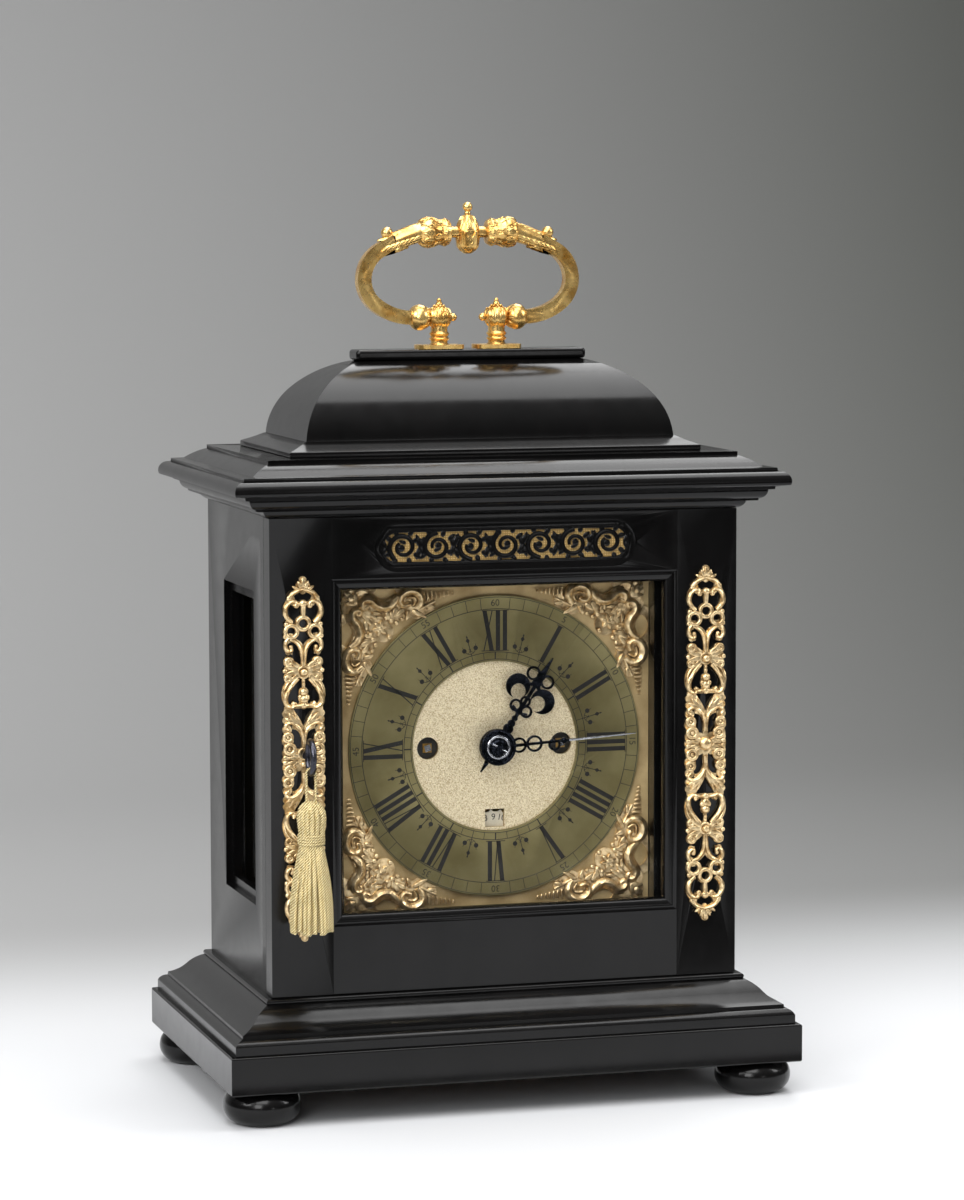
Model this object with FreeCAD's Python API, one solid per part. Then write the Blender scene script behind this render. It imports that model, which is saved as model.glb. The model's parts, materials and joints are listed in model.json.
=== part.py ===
import FreeCAD
import Part
import math
import os

# Bracket clock: ebonised case on bun feet, cushion top with a gilt handle, square brass dial, two-train
# fusee movement with verge escapement. Millimetres. +Z up, the front faces -Y, the origin is on the
# surface that the feet stand on, under the middle of the case.

V = FreeCAD.Vector
UP = V(0, 0, 1)
BACK = V(0, 1, 0)
RIGHT = V(1, 0, 0)

# ---- case ----
case_width = 237.5
case_depth = 136.0
case_height = 233.3
board = 10.0
foot_height = 16.8
foot_radius = 19.0
foot_seat_radius = 13.5
foot_rest_radius = 11.5
foot_inset = 19.3
plinth_height = 18.9
plinth_projection = 26.3
plinth_rail_width = 34.0
base_moulding_height = 22.9
moulding_set_back = 2.7
moulding_ledge = 8.0
base_bead_radius = 1.45
base_board_thickness = 12.0
cornice_height = 27.8
cornice_ledge = 5.0
cornice_width = 30.0
step_set_back = 14.0
step_width = 30.0
dome_set_back = 24.7
step_height = 7.0
dome_height = 37.6
dome_wall = 8.0
slab_width = 119.0
slab_depth = 16.4
slab_height = 5.3
slab_edge_radius = 1.8
gap = 0.3

# ---- doors and windows ----
door_thickness = 12.0
opening_width = 176.0
opening_height = 169.8
opening_above_case_bottom = 33.4
sight_width = 6.0
glass_depth = 7.0
glass_thickness = 2.0
fret_length = 126.0
fret_height = 16.2
fret_thickness = 2.0
fret_above_case_bottom = 217.7
fret_ledge = 1.5
fret_set_back = 0.3
fret_clearance = 0.1
fret_border = 1.1
groove_offset = 3.0
groove_width = 0.8
groove_depth = 0.6
silk_thickness = 0.6
window_width = 66.0
window_height = 155.0
window_behind_front = 34.0
window_above_case_bottom = 40.2
window_bead = 5.0
bead_depth = 3.0
bead_thickness = 4.0
back_door_thickness = 10.0
back_stile = 24.0
button_stem = 1.5
button_depth = 7.0
button_length = 24.0
button_lift = 1.3
button_inset = 8.45

# ---- hinges ----
knuckle_radius = 1.8
hinge_pin_radius = 0.9
pin_clearance = 0.05
hinge_length = 24.0
leaf_thickness = 1.0
leaf_width = 8.0
hinge_heights = (42.0, 190.0)

# ---- lock and key ----
stile_centre = 102.5
key_above_case_bottom = 119.2
key_shank_radius = 1.3
key_bit_length = 2.8
key_bit_thickness = 1.4
bow_width = 15.0
bow_height = 18.3
bow_wire = 3.0
bow_centre = 15.0
lock_width = 22.0
lock_height = 32.0
lock_depth = 8.0
lock_wall = 1.0
key_clearance = 0.1
fit_clearance = 0.05
bolt_throw = 5.0
bolt_height = 8.0
bolt_thickness = 2.4
bolt_length = 16.0
keeper_thickness = 1.0
keeper_width = 7.0
keeper_height = 18.0
bolt_clearance = 0.3
bolt_above_key = 9.2
lock_off_key = 5.6
tassel_loop_wire = 1.6
tassel_loop_drop = 15.0
tassel_head_radius = 7.6
tassel_neck_radius = 6.2
tassel_skirt_radius = 11.5
tassel_length = 64.0

# ---- mounts ----
mount_thickness = 2.4
nail_above_centre = 42.6
nail_head_radius = 1.8
nail_shank_radius = 0.6
nail_depth = 6.0

# ---- dial ----
dial_centre_above_case_bottom = 116.2
dial_width = 160.5
dial_height = 164.0
dial_thickness = 2.0
dial_behind_door_front = 21.5
mask_opening = 160.0
ring_outer = 74.85
ring_inner = 42.3
ring_thickness = 1.5
spandrel_thickness = 2.4
winding_spacing = 68.6
winding_hole_radius = 5.5
square_side = 4.5
date_window_width = 9.9
date_window_height = 9.0
date_window_below_centre = 36.0
date_disc_radius = 24.5
date_teeth = 31
date_disc_thickness = 1.0
date_disc_gap = 0.4
date_stud_radius = 2.0
date_centre_below_dial = 56.5
dial_foot_radius = 2.5
dial_foot_x = 60.0
dial_foot_z = 64.0
lock_room = 0.8
spandrel_clearance = 0.5
minute_hand_length = 71.5
hour_hand_length = 52.0
hand_thickness = 1.1
minute_hand_angle = 86.4
hour_hand_angle = 34.0
hour_hand_above_dial = 4.3
minute_hand_above_dial = 7.0
hour_pipe_radius = 3.9
cannon_pipe_radius = 2.5

# ---- movement ----
plate_width = 132.0
plate_bottom_above_case_bottom = 38.2
plate_height = 146.0
plate_thickness = 2.5
dial_to_plate = 12.5
plate_gap = 52.0
pivot_radius = 0.9
running = 0.05
arbor_radius = 1.4
pillar_radius = 4.0
great_teeth = 96
centre_leaves = 8
centre_teeth = 78
contrate_leaves = 6
contrate_teeth = 66
crown_leaves = 6
crown_teeth = 31
strike_great_teeth = 84
pin_leaves = 7
pin_teeth = 56
hoop_leaves = 7
hoop_teeth = 48
warning_leaves = 6
warning_teeth = 42
fly_leaves = 6
train_module = 0.56
upper_module = 0.5
cannon_teeth = 36
motion_module = 0.6
motion_leaves = 6
hour_teeth = 72
great_wheel_thickness = 3.0
wheel_thickness = 1.4
pinion_length = 5.0
barrel_radius = 20.0
barrel_below_fusee = 56.0
barrel_spacing = 72.0
fusee_large_radius = 22.0
fusee_small_radius = 9.0
pendulum_length = 150.0
bob_radius = 15.0
bob_thickness = 10.0
bell_radius = 33.0
bell_height = 26.0
bell_wall = 2.0
x_bell = -20.0
y_bell = -9.5
bell_bottom = 78.0
hammer_gap = 0.9
hammer_length = 10.0
hammer_place = (-62.0, 22.0)
pillar_places = ((-59.0, -72.0), (59.0, -72.0), (0.0, -70.0), (-20.0, 63.0), (50.0, 63.0))
seat_thickness = 10.0
seat_overhang = 8.0
cleat_width = 10.0
centre_arbor_radius = 1.5
fusee_arbor_radius = 3.2
fusee_rear_radius = 1.5
fusee_length = 32.5
square_set_back = 0.9
barrel_arbor_radius = 3.0
barrel_wall = 1.5
barrel_length = 38.0
pin_direction = 100.0
hoop_direction = 70.0
warning_direction = 150.0
fly_direction = -150.0
pin_count = 8
pin_circle = 12.5
pin_radius = 1.0
fly_radius = 9.0
fly_length = 11.0
motion_leaf_length = 3.9
crown_disc = 1.2
crown_radius = 11.5
crown_band = 4.0
crown_tooth = 1.7
contrate_tooth = 0.9
pallet_clear = 3.3
z_verge = 59.0
potence_low = (32.0, 34.0)
potence_high = (46.0, 47.5)

# ---- handle ----
pivot_above_slab = 15.6
post_spacing = 29.8
ball_radius = 5.8
bail_half_width = 53.9
bail_rise = 18.9
bar_rise = 42.3
bail_bar = 7.0
bail_bar_depth = 6.0
handle_pin_radius = 1.8
urn_radius = 5.8
collar_length = 8.4
collar_radius = 6.5
bail_first_turn = 40.0
bail_last_turn = 60.0
bail_last_radius = 17.0
pin_reach = 5.2
neck_radius = 4.2
flange_length = 25.0
flange_thickness = 2.0
stud_radius = 2.0
nut_across = 8.0
nut_height = 4.0

# ---- levels worked out from the sizes ----
half_width = case_width / 2
half_depth = case_depth / 2
z_plinth = foot_height
z_base_moulding = z_plinth + plinth_height
z_case = z_base_moulding + base_moulding_height
z_case_top = z_case + case_height
z_step = z_case_top + cornice_height
z_dome = z_step + step_height
z_slab = z_dome + dome_height
z_slab_top = z_slab + slab_height
z_pivot = z_slab_top + pivot_above_slab
y_front = -half_depth
y_door_back = y_front + door_thickness
y_side_front = y_door_back + gap
y_back = half_depth
y_dial = y_front + dial_behind_door_front
z_dial = z_case + dial_centre_above_case_bottom
y_plate_front = y_dial + dial_thickness + dial_to_plate
y_plate_rear = y_plate_front + plate_thickness
y_back_plate = y_plate_rear + plate_gap
y_back_plate_rear = y_back_plate + plate_thickness
z_plate = z_case + plate_bottom_above_case_bottom
side_inner = half_width - board
x_key = -stile_centre
z_key = z_case + key_above_case_bottom
x_lock_left = x_key + lock_off_key - lock_width / 2
y_bolt = y_door_back + lock_depth / 2
z_bolt = z_key + bolt_above_key
x_front_hinge = half_width + knuckle_radius + gap
y_front_hinge = y_door_back + gap / 2
x_back_hinge = side_inner - gap / 2
y_back_hinge = y_back + knuckle_radius + gap
x_button = -side_inner + gap + button_inset
z_date = z_dial - date_centre_below_dial
winding_places = (-winding_spacing / 2, winding_spacing / 2)
y_hour_hand = y_dial - hour_hand_above_dial
y_minute_hand = y_dial - minute_hand_above_dial
y_inner_front = y_plate_rear + gap
y_inner_back = y_back_plate - gap
y_square_end = y_plate_front - 4
y_great = y_plate_rear + 2
y_barrel = y_plate_rear + 7.5
y_centre_wheel = y_back_plate - 10.5
y_hoop = y_plate_rear + 27.5
y_warning = y_plate_rear + 13.5
y_fly = y_plate_rear + 28.5
y_pendulum = y_back_plate_rear + 7
y_cock_rear = y_back_plate_rear + 14.5
z_contrate = (centre_teeth + contrate_leaves) / 2 * train_module
contrate_radius = contrate_teeth * train_module / 2
y_crown = -4.3
contrate_front = y_crown + crown_leaves * train_module / 2 + 0.5
contrate_back = contrate_front + 3.6
contrate_start = 3.2
post_places = (-post_spacing / 2, post_spacing / 2)
shapes = {}


def box(x0, x1, y0, y1, z0, z1):
    return Part.makeBox(x1 - x0, y1 - y0, z1 - z0, V(x0, y0, z0))


def rod(radius, start, end):
    axis = end - start
    return Part.makeCylinder(radius, axis.Length, start, axis)


def ball(radius, centre):
    return Part.makeSphere(radius, centre)


def edges_along(path, place):
    # A path is a list of points; an entry of two points is an arc through the first to the second.
    edges = []
    here = path[0]
    for entry in path[1:]:
        if isinstance(entry[0], tuple):
            edges.append(Part.Arc(place(*here), place(*entry[0]), place(*entry[1])).toShape())
            here = entry[1]
        else:
            edges.append(Part.LineSegment(place(*here), place(*entry)).toShape())
            here = entry
    return edges


def face_along(path, place):
    return Part.Face(Part.Wire(edges_along(path + [path[0]], place)))


def turned(path, centre, axis=UP):
    # path holds (radius, height along the axis); the shape is turned about that axis through centre.
    across = BACK if abs(axis.x) > 0.5 else RIGHT
    face = face_along(path, lambda r, h: centre + across * r + axis * h)
    return face.revolve(centre, axis, 360)


def joined(pieces):
    shape = pieces[0].multiFuse(pieces[1:]) if len(pieces) > 1 else pieces[0]
    return shape.removeSplitter()


def mitred_lengths(half_x, half_y, path, outwards, inwards):
    # Four mitred lengths of one moulding round a rectangle; path holds (offset from the rectangle, height).
    lengths = []
    for turn in range(4):
        along, across = (half_x, half_y) if turn % 2 == 0 else (half_y, half_x)
        profile = face_along(path, lambda offset, z: V(-along - outwards, -across - offset, z))
        heights = [corner.Point.z for corner in profile.Vertexes]
        low = min(heights) - 5
        footprint = [
            (-along - outwards, -across - outwards),
            (along + outwards, -across - outwards),
            (along - inwards, -across + inwards),
            (-along + inwards, -across + inwards),
        ]
        block = face_along(footprint, lambda x, y: V(x, y, low)).extrude(UP * (max(heights) + 5 - low))
        length = profile.extrude(RIGHT * 2 * (along + outwards)).common(block)
        length.rotate(V(0, 0, 0), UP, 90 * turn)
        lengths += length.Solids
    return lengths


def stood_up(pieces, centre):
    # Turns pieces made flat about the origin so that their height faces the front (-Y).
    for piece in pieces:
        piece.rotate(V(0, 0, 0), RIGHT, 90)
        piece.translate(centre)
    return pieces


# ---- flat ornament: faces in a plane of (across, up), later cut from sheet or cast plate ----

def disc_face(u, v, radius):
    return Part.Face(Part.Wire(Part.makeCircle(radius, V(u, v, 0))))


def ring_face(u, v, radius, width):
    return disc_face(u, v, radius + width / 2).cut(disc_face(u, v, radius - width / 2))


def polar(u, v, radius, degrees):
    return (u + radius * math.cos(math.radians(degrees)), v + radius * math.sin(math.radians(degrees)))


def band_face(u, v, radius, width, start, end):
    inner, outer, middle = radius - width / 2, radius + width / 2, (start + end) / 2
    path = [
        polar(u, v, inner, start),
        polar(u, v, outer, start),
        (polar(u, v, outer, middle), polar(u, v, outer, end)),
        polar(u, v, inner, end),
        (polar(u, v, inner, middle), polar(u, v, inner, start)),
    ]
    return Part.Face(Part.Wire(edges_along(path, flat)))


def bar_face(start, end, width_start, width_end):
    du, dv = end[0] - start[0], end[1] - start[1]
    length = math.hypot(du, dv)
    nu, nv = -dv / length / 2, du / length / 2
    corners = [
        (start[0] + nu * width_start, start[1] + nv * width_start),
        (end[0] + nu * width_end, end[1] + nv * width_end),
        (end[0] - nu * width_end, end[1] - nv * width_end),
        (start[0] - nu * width_start, start[1] - nv * width_start),
    ]
    return face_along(corners, flat)


def flat(u, v):
    return V(u, v, 0)


def plate_from(faces, thickness, holes=()):
    # Joins flat faces and gives them thickness; the result lies on XY and grows up.
    shape = joined(faces)
    if holes:
        shape = shape.cut(list(holes))
    return shape.extrude(UP * thickness)


def make(name, *solids):
    shapes[name] = Part.makeCompound(list(solids)) if len(solids) > 1 else solids[0]


def lifted(path, height):
    # The same path, its heights measured from another level.
    moved = []
    for entry in path:
        if isinstance(entry[0], tuple):
            moved.append(((entry[0][0], entry[0][1] + height), (entry[1][0], entry[1][1] + height)))
        else:
            moved.append((entry[0], entry[1] + height))
    return moved


# ---- feet, plinth and base ----

def make_base():
    foot_x = half_width + plinth_projection - foot_inset
    foot_y = half_depth + plinth_projection - foot_inset
    bun = [
        (0, 0),
        (foot_rest_radius, 0),
        ((foot_radius, foot_height * 0.48), (foot_seat_radius, foot_height)),
        (0, foot_height),
    ]
    make("bun_feet", *[turned(bun, V(x, y, 0)) for x in (-foot_x, foot_x) for y in (-foot_y, foot_y)])

    plinth_inwards = plinth_rail_width - plinth_projection
    plinth = [(-plinth_inwards, 0), (plinth_projection, 0),
              (plinth_projection, plinth_height), (-plinth_inwards, plinth_height)]
    rails = mitred_lengths(half_width, half_depth, lifted(plinth, z_plinth), plinth_projection,
                           plinth_inwards)
    make("base_plinth", *rails)

    # Ovolo, fillet, ogee and a small bead under the case.
    reach = plinth_projection - moulding_set_back
    tall = base_moulding_height
    bead = base_bead_radius
    profile = [
        (-moulding_ledge, 0),
        (reach, 0),
        ((reach - 0.1, tall * 0.2), (reach - 4.3, tall * 0.33)),
        (reach - 4.5, tall * 0.4),
        ((reach - 9.4, tall * 0.51), (reach - 12.6, tall * 0.64)),
        ((reach - 15.3, tall * 0.76), (bead * 2.2, tall - bead * 1.7)),
        ((bead * 2.5, tall - bead), (bead * 1.5, tall)),
        (-moulding_ledge, tall),
    ]
    lengths = mitred_lengths(half_width, half_depth, lifted(profile, z_base_moulding), reach,
                             moulding_ledge)
    make("base_moulding", *lengths)
    board_x, board_y = half_width - moulding_ledge, half_depth - moulding_ledge
    make("base_board", box(-board_x, board_x, -board_y, board_y, z_case - base_board_thickness, z_case))


# ---- case sides with their windows ----

def make_sides():
    y_window = y_front + window_behind_front
    z_window = z_case + window_above_case_bottom
    y_end, z_end = y_window + window_width, z_window + window_height
    x_bead = half_width - bead_depth
    x_glass = x_bead - bead_thickness
    inset = window_bead
    glasses = []
    for name, side in (("case_side_left", -1), ("case_side_right", 1)):
        def across(low, high, y0, y1, z0, z1):
            x0, x1 = sorted((side * low, side * high))
            return box(x0, x1, y0, y1, z0, z1)
        panel = across(side_inner, half_width, y_side_front, y_back, z_case, z_case_top)
        panel = panel.cut(across(side_inner - 1, half_width + 1, y_window, y_end, z_window, z_end))
        for z in hinge_heights:
            if side > 0:
                leaf = across(half_width - leaf_width, half_width, y_side_front,
                              y_side_front + leaf_thickness, z_case + z, z_case + z + hinge_length)
                panel = panel.cut(leaf)
        if side < 0:
            panel = panel.cut(keeper_box(keeper_thickness, 0)).cut(bolt_way())
        beads = [
            across(x_glass, x_bead, y_window, y_window + inset, z_window, z_end),
            across(x_glass, x_bead, y_end - inset, y_end, z_window, z_end),
            across(x_glass, x_bead, y_window + inset, y_end - inset, z_window, z_window + inset),
            across(x_glass, x_bead, y_window + inset, y_end - inset, z_end - inset, z_end),
        ]
        make(name, panel, *beads)
        glasses.append(across(x_glass - glass_thickness, x_glass, y_window + gap, y_end - gap,
                              z_window + gap, z_end - gap))
    make("side_window_glasses", *glasses)


def keeper_box(thickness, trim):
    # The keeper is let into the inner face of the left side, behind the edge that the door shuts on.
    return box(-side_inner - thickness, -side_inner, y_bolt - keeper_width / 2 + trim,
               y_bolt + keeper_width / 2 - trim, z_bolt - keeper_height / 2 + trim,
               z_bolt + keeper_height / 2 - trim)


def bolt_way():
    # Room for the thrown bolt in the keeper and in the mortise behind it.
    half_thick = bolt_thickness / 2 + bolt_clearance
    half_high = bolt_height / 2 + bolt_clearance
    return box(x_lock_left - bolt_throw - bolt_clearance, x_lock_left, y_bolt - half_thick,
               y_bolt + half_thick, z_bolt - half_high, z_bolt + half_high)


# ---- top of the case: board, cornice, step, dome and slab ----

def make_top():
    board_x, board_y = half_width - cornice_ledge, half_depth - cornice_ledge
    make("case_top_board", box(-board_x, board_x, -board_y, board_y, z_case_top, z_case_top + board))
    tall = cornice_height
    profile = [
        (-cornice_ledge, 0),
        (0, 0),
        ((2.4, 1.3), (3.7, 3.3)),
        (8.4, 3.9),
        (8.5, 4.8),
        ((11.3, 6.6), (12.2, 9.2)),
        (14.8, 9.7),
        (15.0, 11.0),
        (20.9, 12.0),
        ((21.0, tall - 12.2), (15.9, tall - 9.2)),
        (15.7, tall - 7.5),
        (10.1, tall - 7.0),
        ((6.2, tall - 4.4), (1.2, tall - 2.1)),
        (0.3, tall - 1.9),
        (0.3, tall),
        (-cornice_width, tall),
        (-cornice_width, board),
        (-cornice_ledge, board),
    ]
    reach = 24
    make("cornice_moulding",
         *mitred_lengths(half_width, half_depth, lifted(profile, z_case_top), reach, cornice_width))
    inner = step_set_back + step_width
    step = [
        (-step_set_back, 0),
        (-step_set_back, 2.7),
        ((-step_set_back - 4.9, 4.6), (-step_set_back - 10.1, step_height)),
        (-inner, step_height),
        (-inner, 0),
    ]
    make("step_moulding",
         *mitred_lengths(half_width, half_depth, lifted(step, z_step), -step_set_back + 1, inner))
    outside = [(dome_set_back, 0), ((dome_set_back + 2.9, 12), (dome_set_back + 12.1, 25)),
               ((dome_set_back + 22.1, dome_height - 5.4), (dome_set_back + 37.1, dome_height))]
    low = dome_set_back + dome_wall
    inside = [(low, -1), (low, 0), ((low + 2.9, 11), (low + 12.1, 21)),
              ((low + 18, dome_height - dome_wall - 2.5), (low + 25, dome_height - dome_wall))]
    shell = cushion(outside).cut(cushion(inside))
    slab = box(-slab_width / 2, slab_width / 2, -slab_depth / 2, slab_depth / 2, z_slab, z_slab_top)
    slab = slab.makeFillet(slab_edge_radius, slab.Edges)
    studs = [rod(stud_radius + gap / 3, V(x, 0, z_slab - dome_wall - 1),
                 V(x, 0, z_slab_top + 1)) for x in post_places]
    make("dome", shell.cut(studs))
    make("top_slab", slab.cut(studs))


def cushion(path):
    # Where two bulged sections cross: path holds (set back from the case, height above the step).
    sections = []
    for half, place, along, length in (
        (half_width, lambda u, v: V(u, -half_depth, v), BACK, case_depth),
        (half_depth, lambda u, v: V(-half_width, u, v), RIGHT, case_width),
    ):
        right = lifted([(half - path[0][0], path[0][1])], z_dome)
        left = []
        for entry in path[1:]:
            if isinstance(entry[0], tuple):
                right.append(((half - entry[0][0], z_dome + entry[0][1]),
                              (half - entry[1][0], z_dome + entry[1][1])))
            else:
                right.append((half - entry[0], z_dome + entry[1]))
        # the left flank is the right one walked backwards and mirrored
        here = right[0]
        for entry in right[1:]:
            if isinstance(entry[0], tuple):
                left.insert(0, ((-entry[0][0], entry[0][1]), (-here[0], here[1])))
                here = entry[1]
            else:
                left.insert(0, (-here[0], here[1]))
                here = entry
        outline = right + [(-here[0], here[1])] + left
        sections.append(face_along(outline, place).extrude(along * length))
    return sections[0].common(sections[1]).Solids[0]


# ---- handle ----

def make_posts():
    solids = []
    for x in post_places:
        post = turned([
            (0, -pivot_above_slab), (5.5, -pivot_above_slab), (5.5, 1.2 - pivot_above_slab),
            (neck_radius, 3 - pivot_above_slab), (neck_radius, 4 - pivot_above_slab),
            (5.2, 5 - pivot_above_slab),
            (neck_radius, 6 - pivot_above_slab), (5.2, 7.4 - pivot_above_slab),
            (neck_radius, 8.6 - pivot_above_slab), (neck_radius, 0), (0, 0),
        ], V(x, 0, z_pivot))
        flange = rod(flange_length / 2, V(x, 0, z_slab_top), V(x, 0, z_slab_top + flange_thickness))
        flange = flange.common(box(x - flange_length, x + flange_length, -slab_depth / 2 + 0.7,
                                   slab_depth / 2 - 0.7, z_slab_top - 1, z_slab_top + 5))
        inward = 1 if x < 0 else -1
        stud = rod(stud_radius, V(x, 0, z_slab - dome_wall - nut_height - 1), V(x, 0, z_slab_top + 1))
        nut = hexagon(nut_across / 2, x, 0, z_slab - dome_wall - nut_height, nut_height)
        ball_centre = V(x, 0, z_pivot)
        body = joined([
            post, flange, stud, nut, ball(ball_radius, ball_centre),
            ball(2.0, V(x + inward * (ball_radius + 1.4), 0, z_pivot)),
            ball(1.8, V(x, 0, z_pivot + ball_radius + 0.6)),
            ball(1.2, V(x, 0, z_pivot + ball_radius + 2.6)),
        ])
        bore = rod(handle_pin_radius + pin_clearance, V(x, 0, z_pivot), V(x - inward * 20, 0, z_pivot))
        flat_side = box(*sorted((x - inward * (ball_radius - 0.5), x - inward * 20)), -9, 9, z_pivot - 9,
                        z_pivot + 9)
        solids.append(body.cut([bore, flat_side]))
    make("handle_posts", *solids)


def hexagon(radius, x, y, z, height):
    corners = [V(x + radius * math.cos(math.radians(60 * i)), y + radius * math.sin(math.radians(60 * i)),
                 z)
               for i in range(7)]
    return Part.Face(Part.makePolygon(corners)).extrude(UP * height)


def bail_faces():
    # The right half of the bail: two tangent arcs out to the shoulder, one back in, a straight to the grip.
    start = post_places[1] + ball_radius + collar_length
    turn = math.radians(bail_first_turn)
    sine, cosine = math.sin(turn), math.cos(turn)
    across, up = bail_half_width - start, bail_rise
    scale = sine * cosine - (1 - sine) * (1 - cosine)
    first = (across * cosine - (1 - sine) * up) / scale
    second = (sine * up - (1 - cosine) * across) / scale
    u, v = start + first * sine, first * (1 - cosine)
    end_turn = math.radians(bail_last_turn)
    shoulder = bail_half_width - bail_last_radius
    last = (shoulder + bail_last_radius * math.cos(end_turn),
            bail_rise + bail_last_radius * math.sin(end_turn))
    reach = (bar_rise - 4 - last[1]) / math.cos(end_turn)
    grip = (last[0] - reach * math.sin(end_turn), last[1] + reach * math.cos(end_turn))
    faces = [
        band_face(start, first, first, bail_bar, -90, bail_first_turn - 90),
        band_face(u - second * sine, v + second * cosine, second, bail_bar, bail_first_turn - 90, 0),
        band_face(shoulder, bail_rise, bail_last_radius, bail_bar, 0, bail_last_turn),
        bar_face(last, grip, bail_bar, bail_bar),
    ]
    return faces, grip


def make_handle():
    faces, top = bail_faces()
    pieces = []
    for side in (-1, 1):
        bail = joined([face.extrude(UP * bail_bar_depth) for face in faces])
        if side < 0:
            bail = bail.mirror(V(0, 0, 0), RIGHT)
        pieces += stood_up([bail], V(0, bail_bar_depth / 2, z_pivot))
        along = RIGHT * side
        ball_face = post_places[1] + ball_radius - 0.5 + gap
        collar = [(0, 0), (3.6, 0), ((collar_radius, collar_length * 0.5), (3.8, collar_length + 1)),
                  (0, collar_length + 1)]
        pieces.append(turned(collar, V(side * ball_face, 0, z_pivot), along))
        pieces.append(rod(handle_pin_radius, V(side * (ball_face - pin_reach), 0, z_pivot),
                          V(side * (ball_face + 1), 0, z_pivot)))
        bar = V(0, 0, z_pivot + bar_rise)
        capital = [(0, 9.2), (2.8, 9.2), (5.6, 9.6), (6.8, 12), (5.8, 14.5), (6.6, 17), (7.4, 20.5),
                   (6.6, 23.5),
                   (5.2, 25.2), (4.0, 38), (0, 38)]
        pieces.append(turned(capital, bar, along))
        pieces.append(ball(bail_bar * 0.62, V(side * (top[0] - 1.5), 0, z_pivot + top[1])))
        pieces.append(ball(3.0, V(side * (top[0] + 4.4), 0, z_pivot + top[1] + 3.8)))
        pieces.append(ball(2.4, V(side * 33, 0, z_pivot + bar_rise - 5.4)))
    pieces.append(rod(2.8, V(-10, 0, z_pivot + bar_rise), V(10, 0, z_pivot + bar_rise)))
    urn = [(0, -10.6), (2, -10.6), ((4.8, -7.4), (5.4, -2)), ((urn_radius, 0), (5.4, 2.4)), (4.4, 5),
           (2.4, 8.6),
           (0, 8.6)]
    pieces.append(turned(urn, V(0, 0, z_pivot + bar_rise)))
    pieces.append(ball(1.6, V(0, 0, z_pivot + bar_rise + 9.4)))
    pieces.append(ball(2.5, V(0, 0, z_pivot + bar_rise + 12.6)))
    make("carrying_handle", joined(pieces))


# ---- front door ----

def stadium(length, height, offset, y0, y1, z):
    radius = height / 2 + offset
    half = length / 2 - height / 2
    outline = [(-half, z - radius), (half, z - radius), ((half + radius, z), (half, z + radius)),
               (-half, z + radius), ((-half - radius, z), (-half, z - radius))]
    edges = edges_along(outline, lambda u, v: V(u, y0, v))
    return Part.Face(Part.Wire(edges)).extrude(BACK * (y1 - y0))


def keyhole(y0, y1, trim):
    # A round hole for the shank with a slot below it for the bit.
    slot = key_bit_thickness / 2 + trim
    drop = key_shank_radius + key_bit_length + trim
    hole = rod(key_shank_radius + trim, V(x_key, y0, z_key), V(x_key, y1, z_key))
    return hole.fuse(box(x_key - slot, x_key + slot, y0, y1, z_key - drop, z_key))


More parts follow.
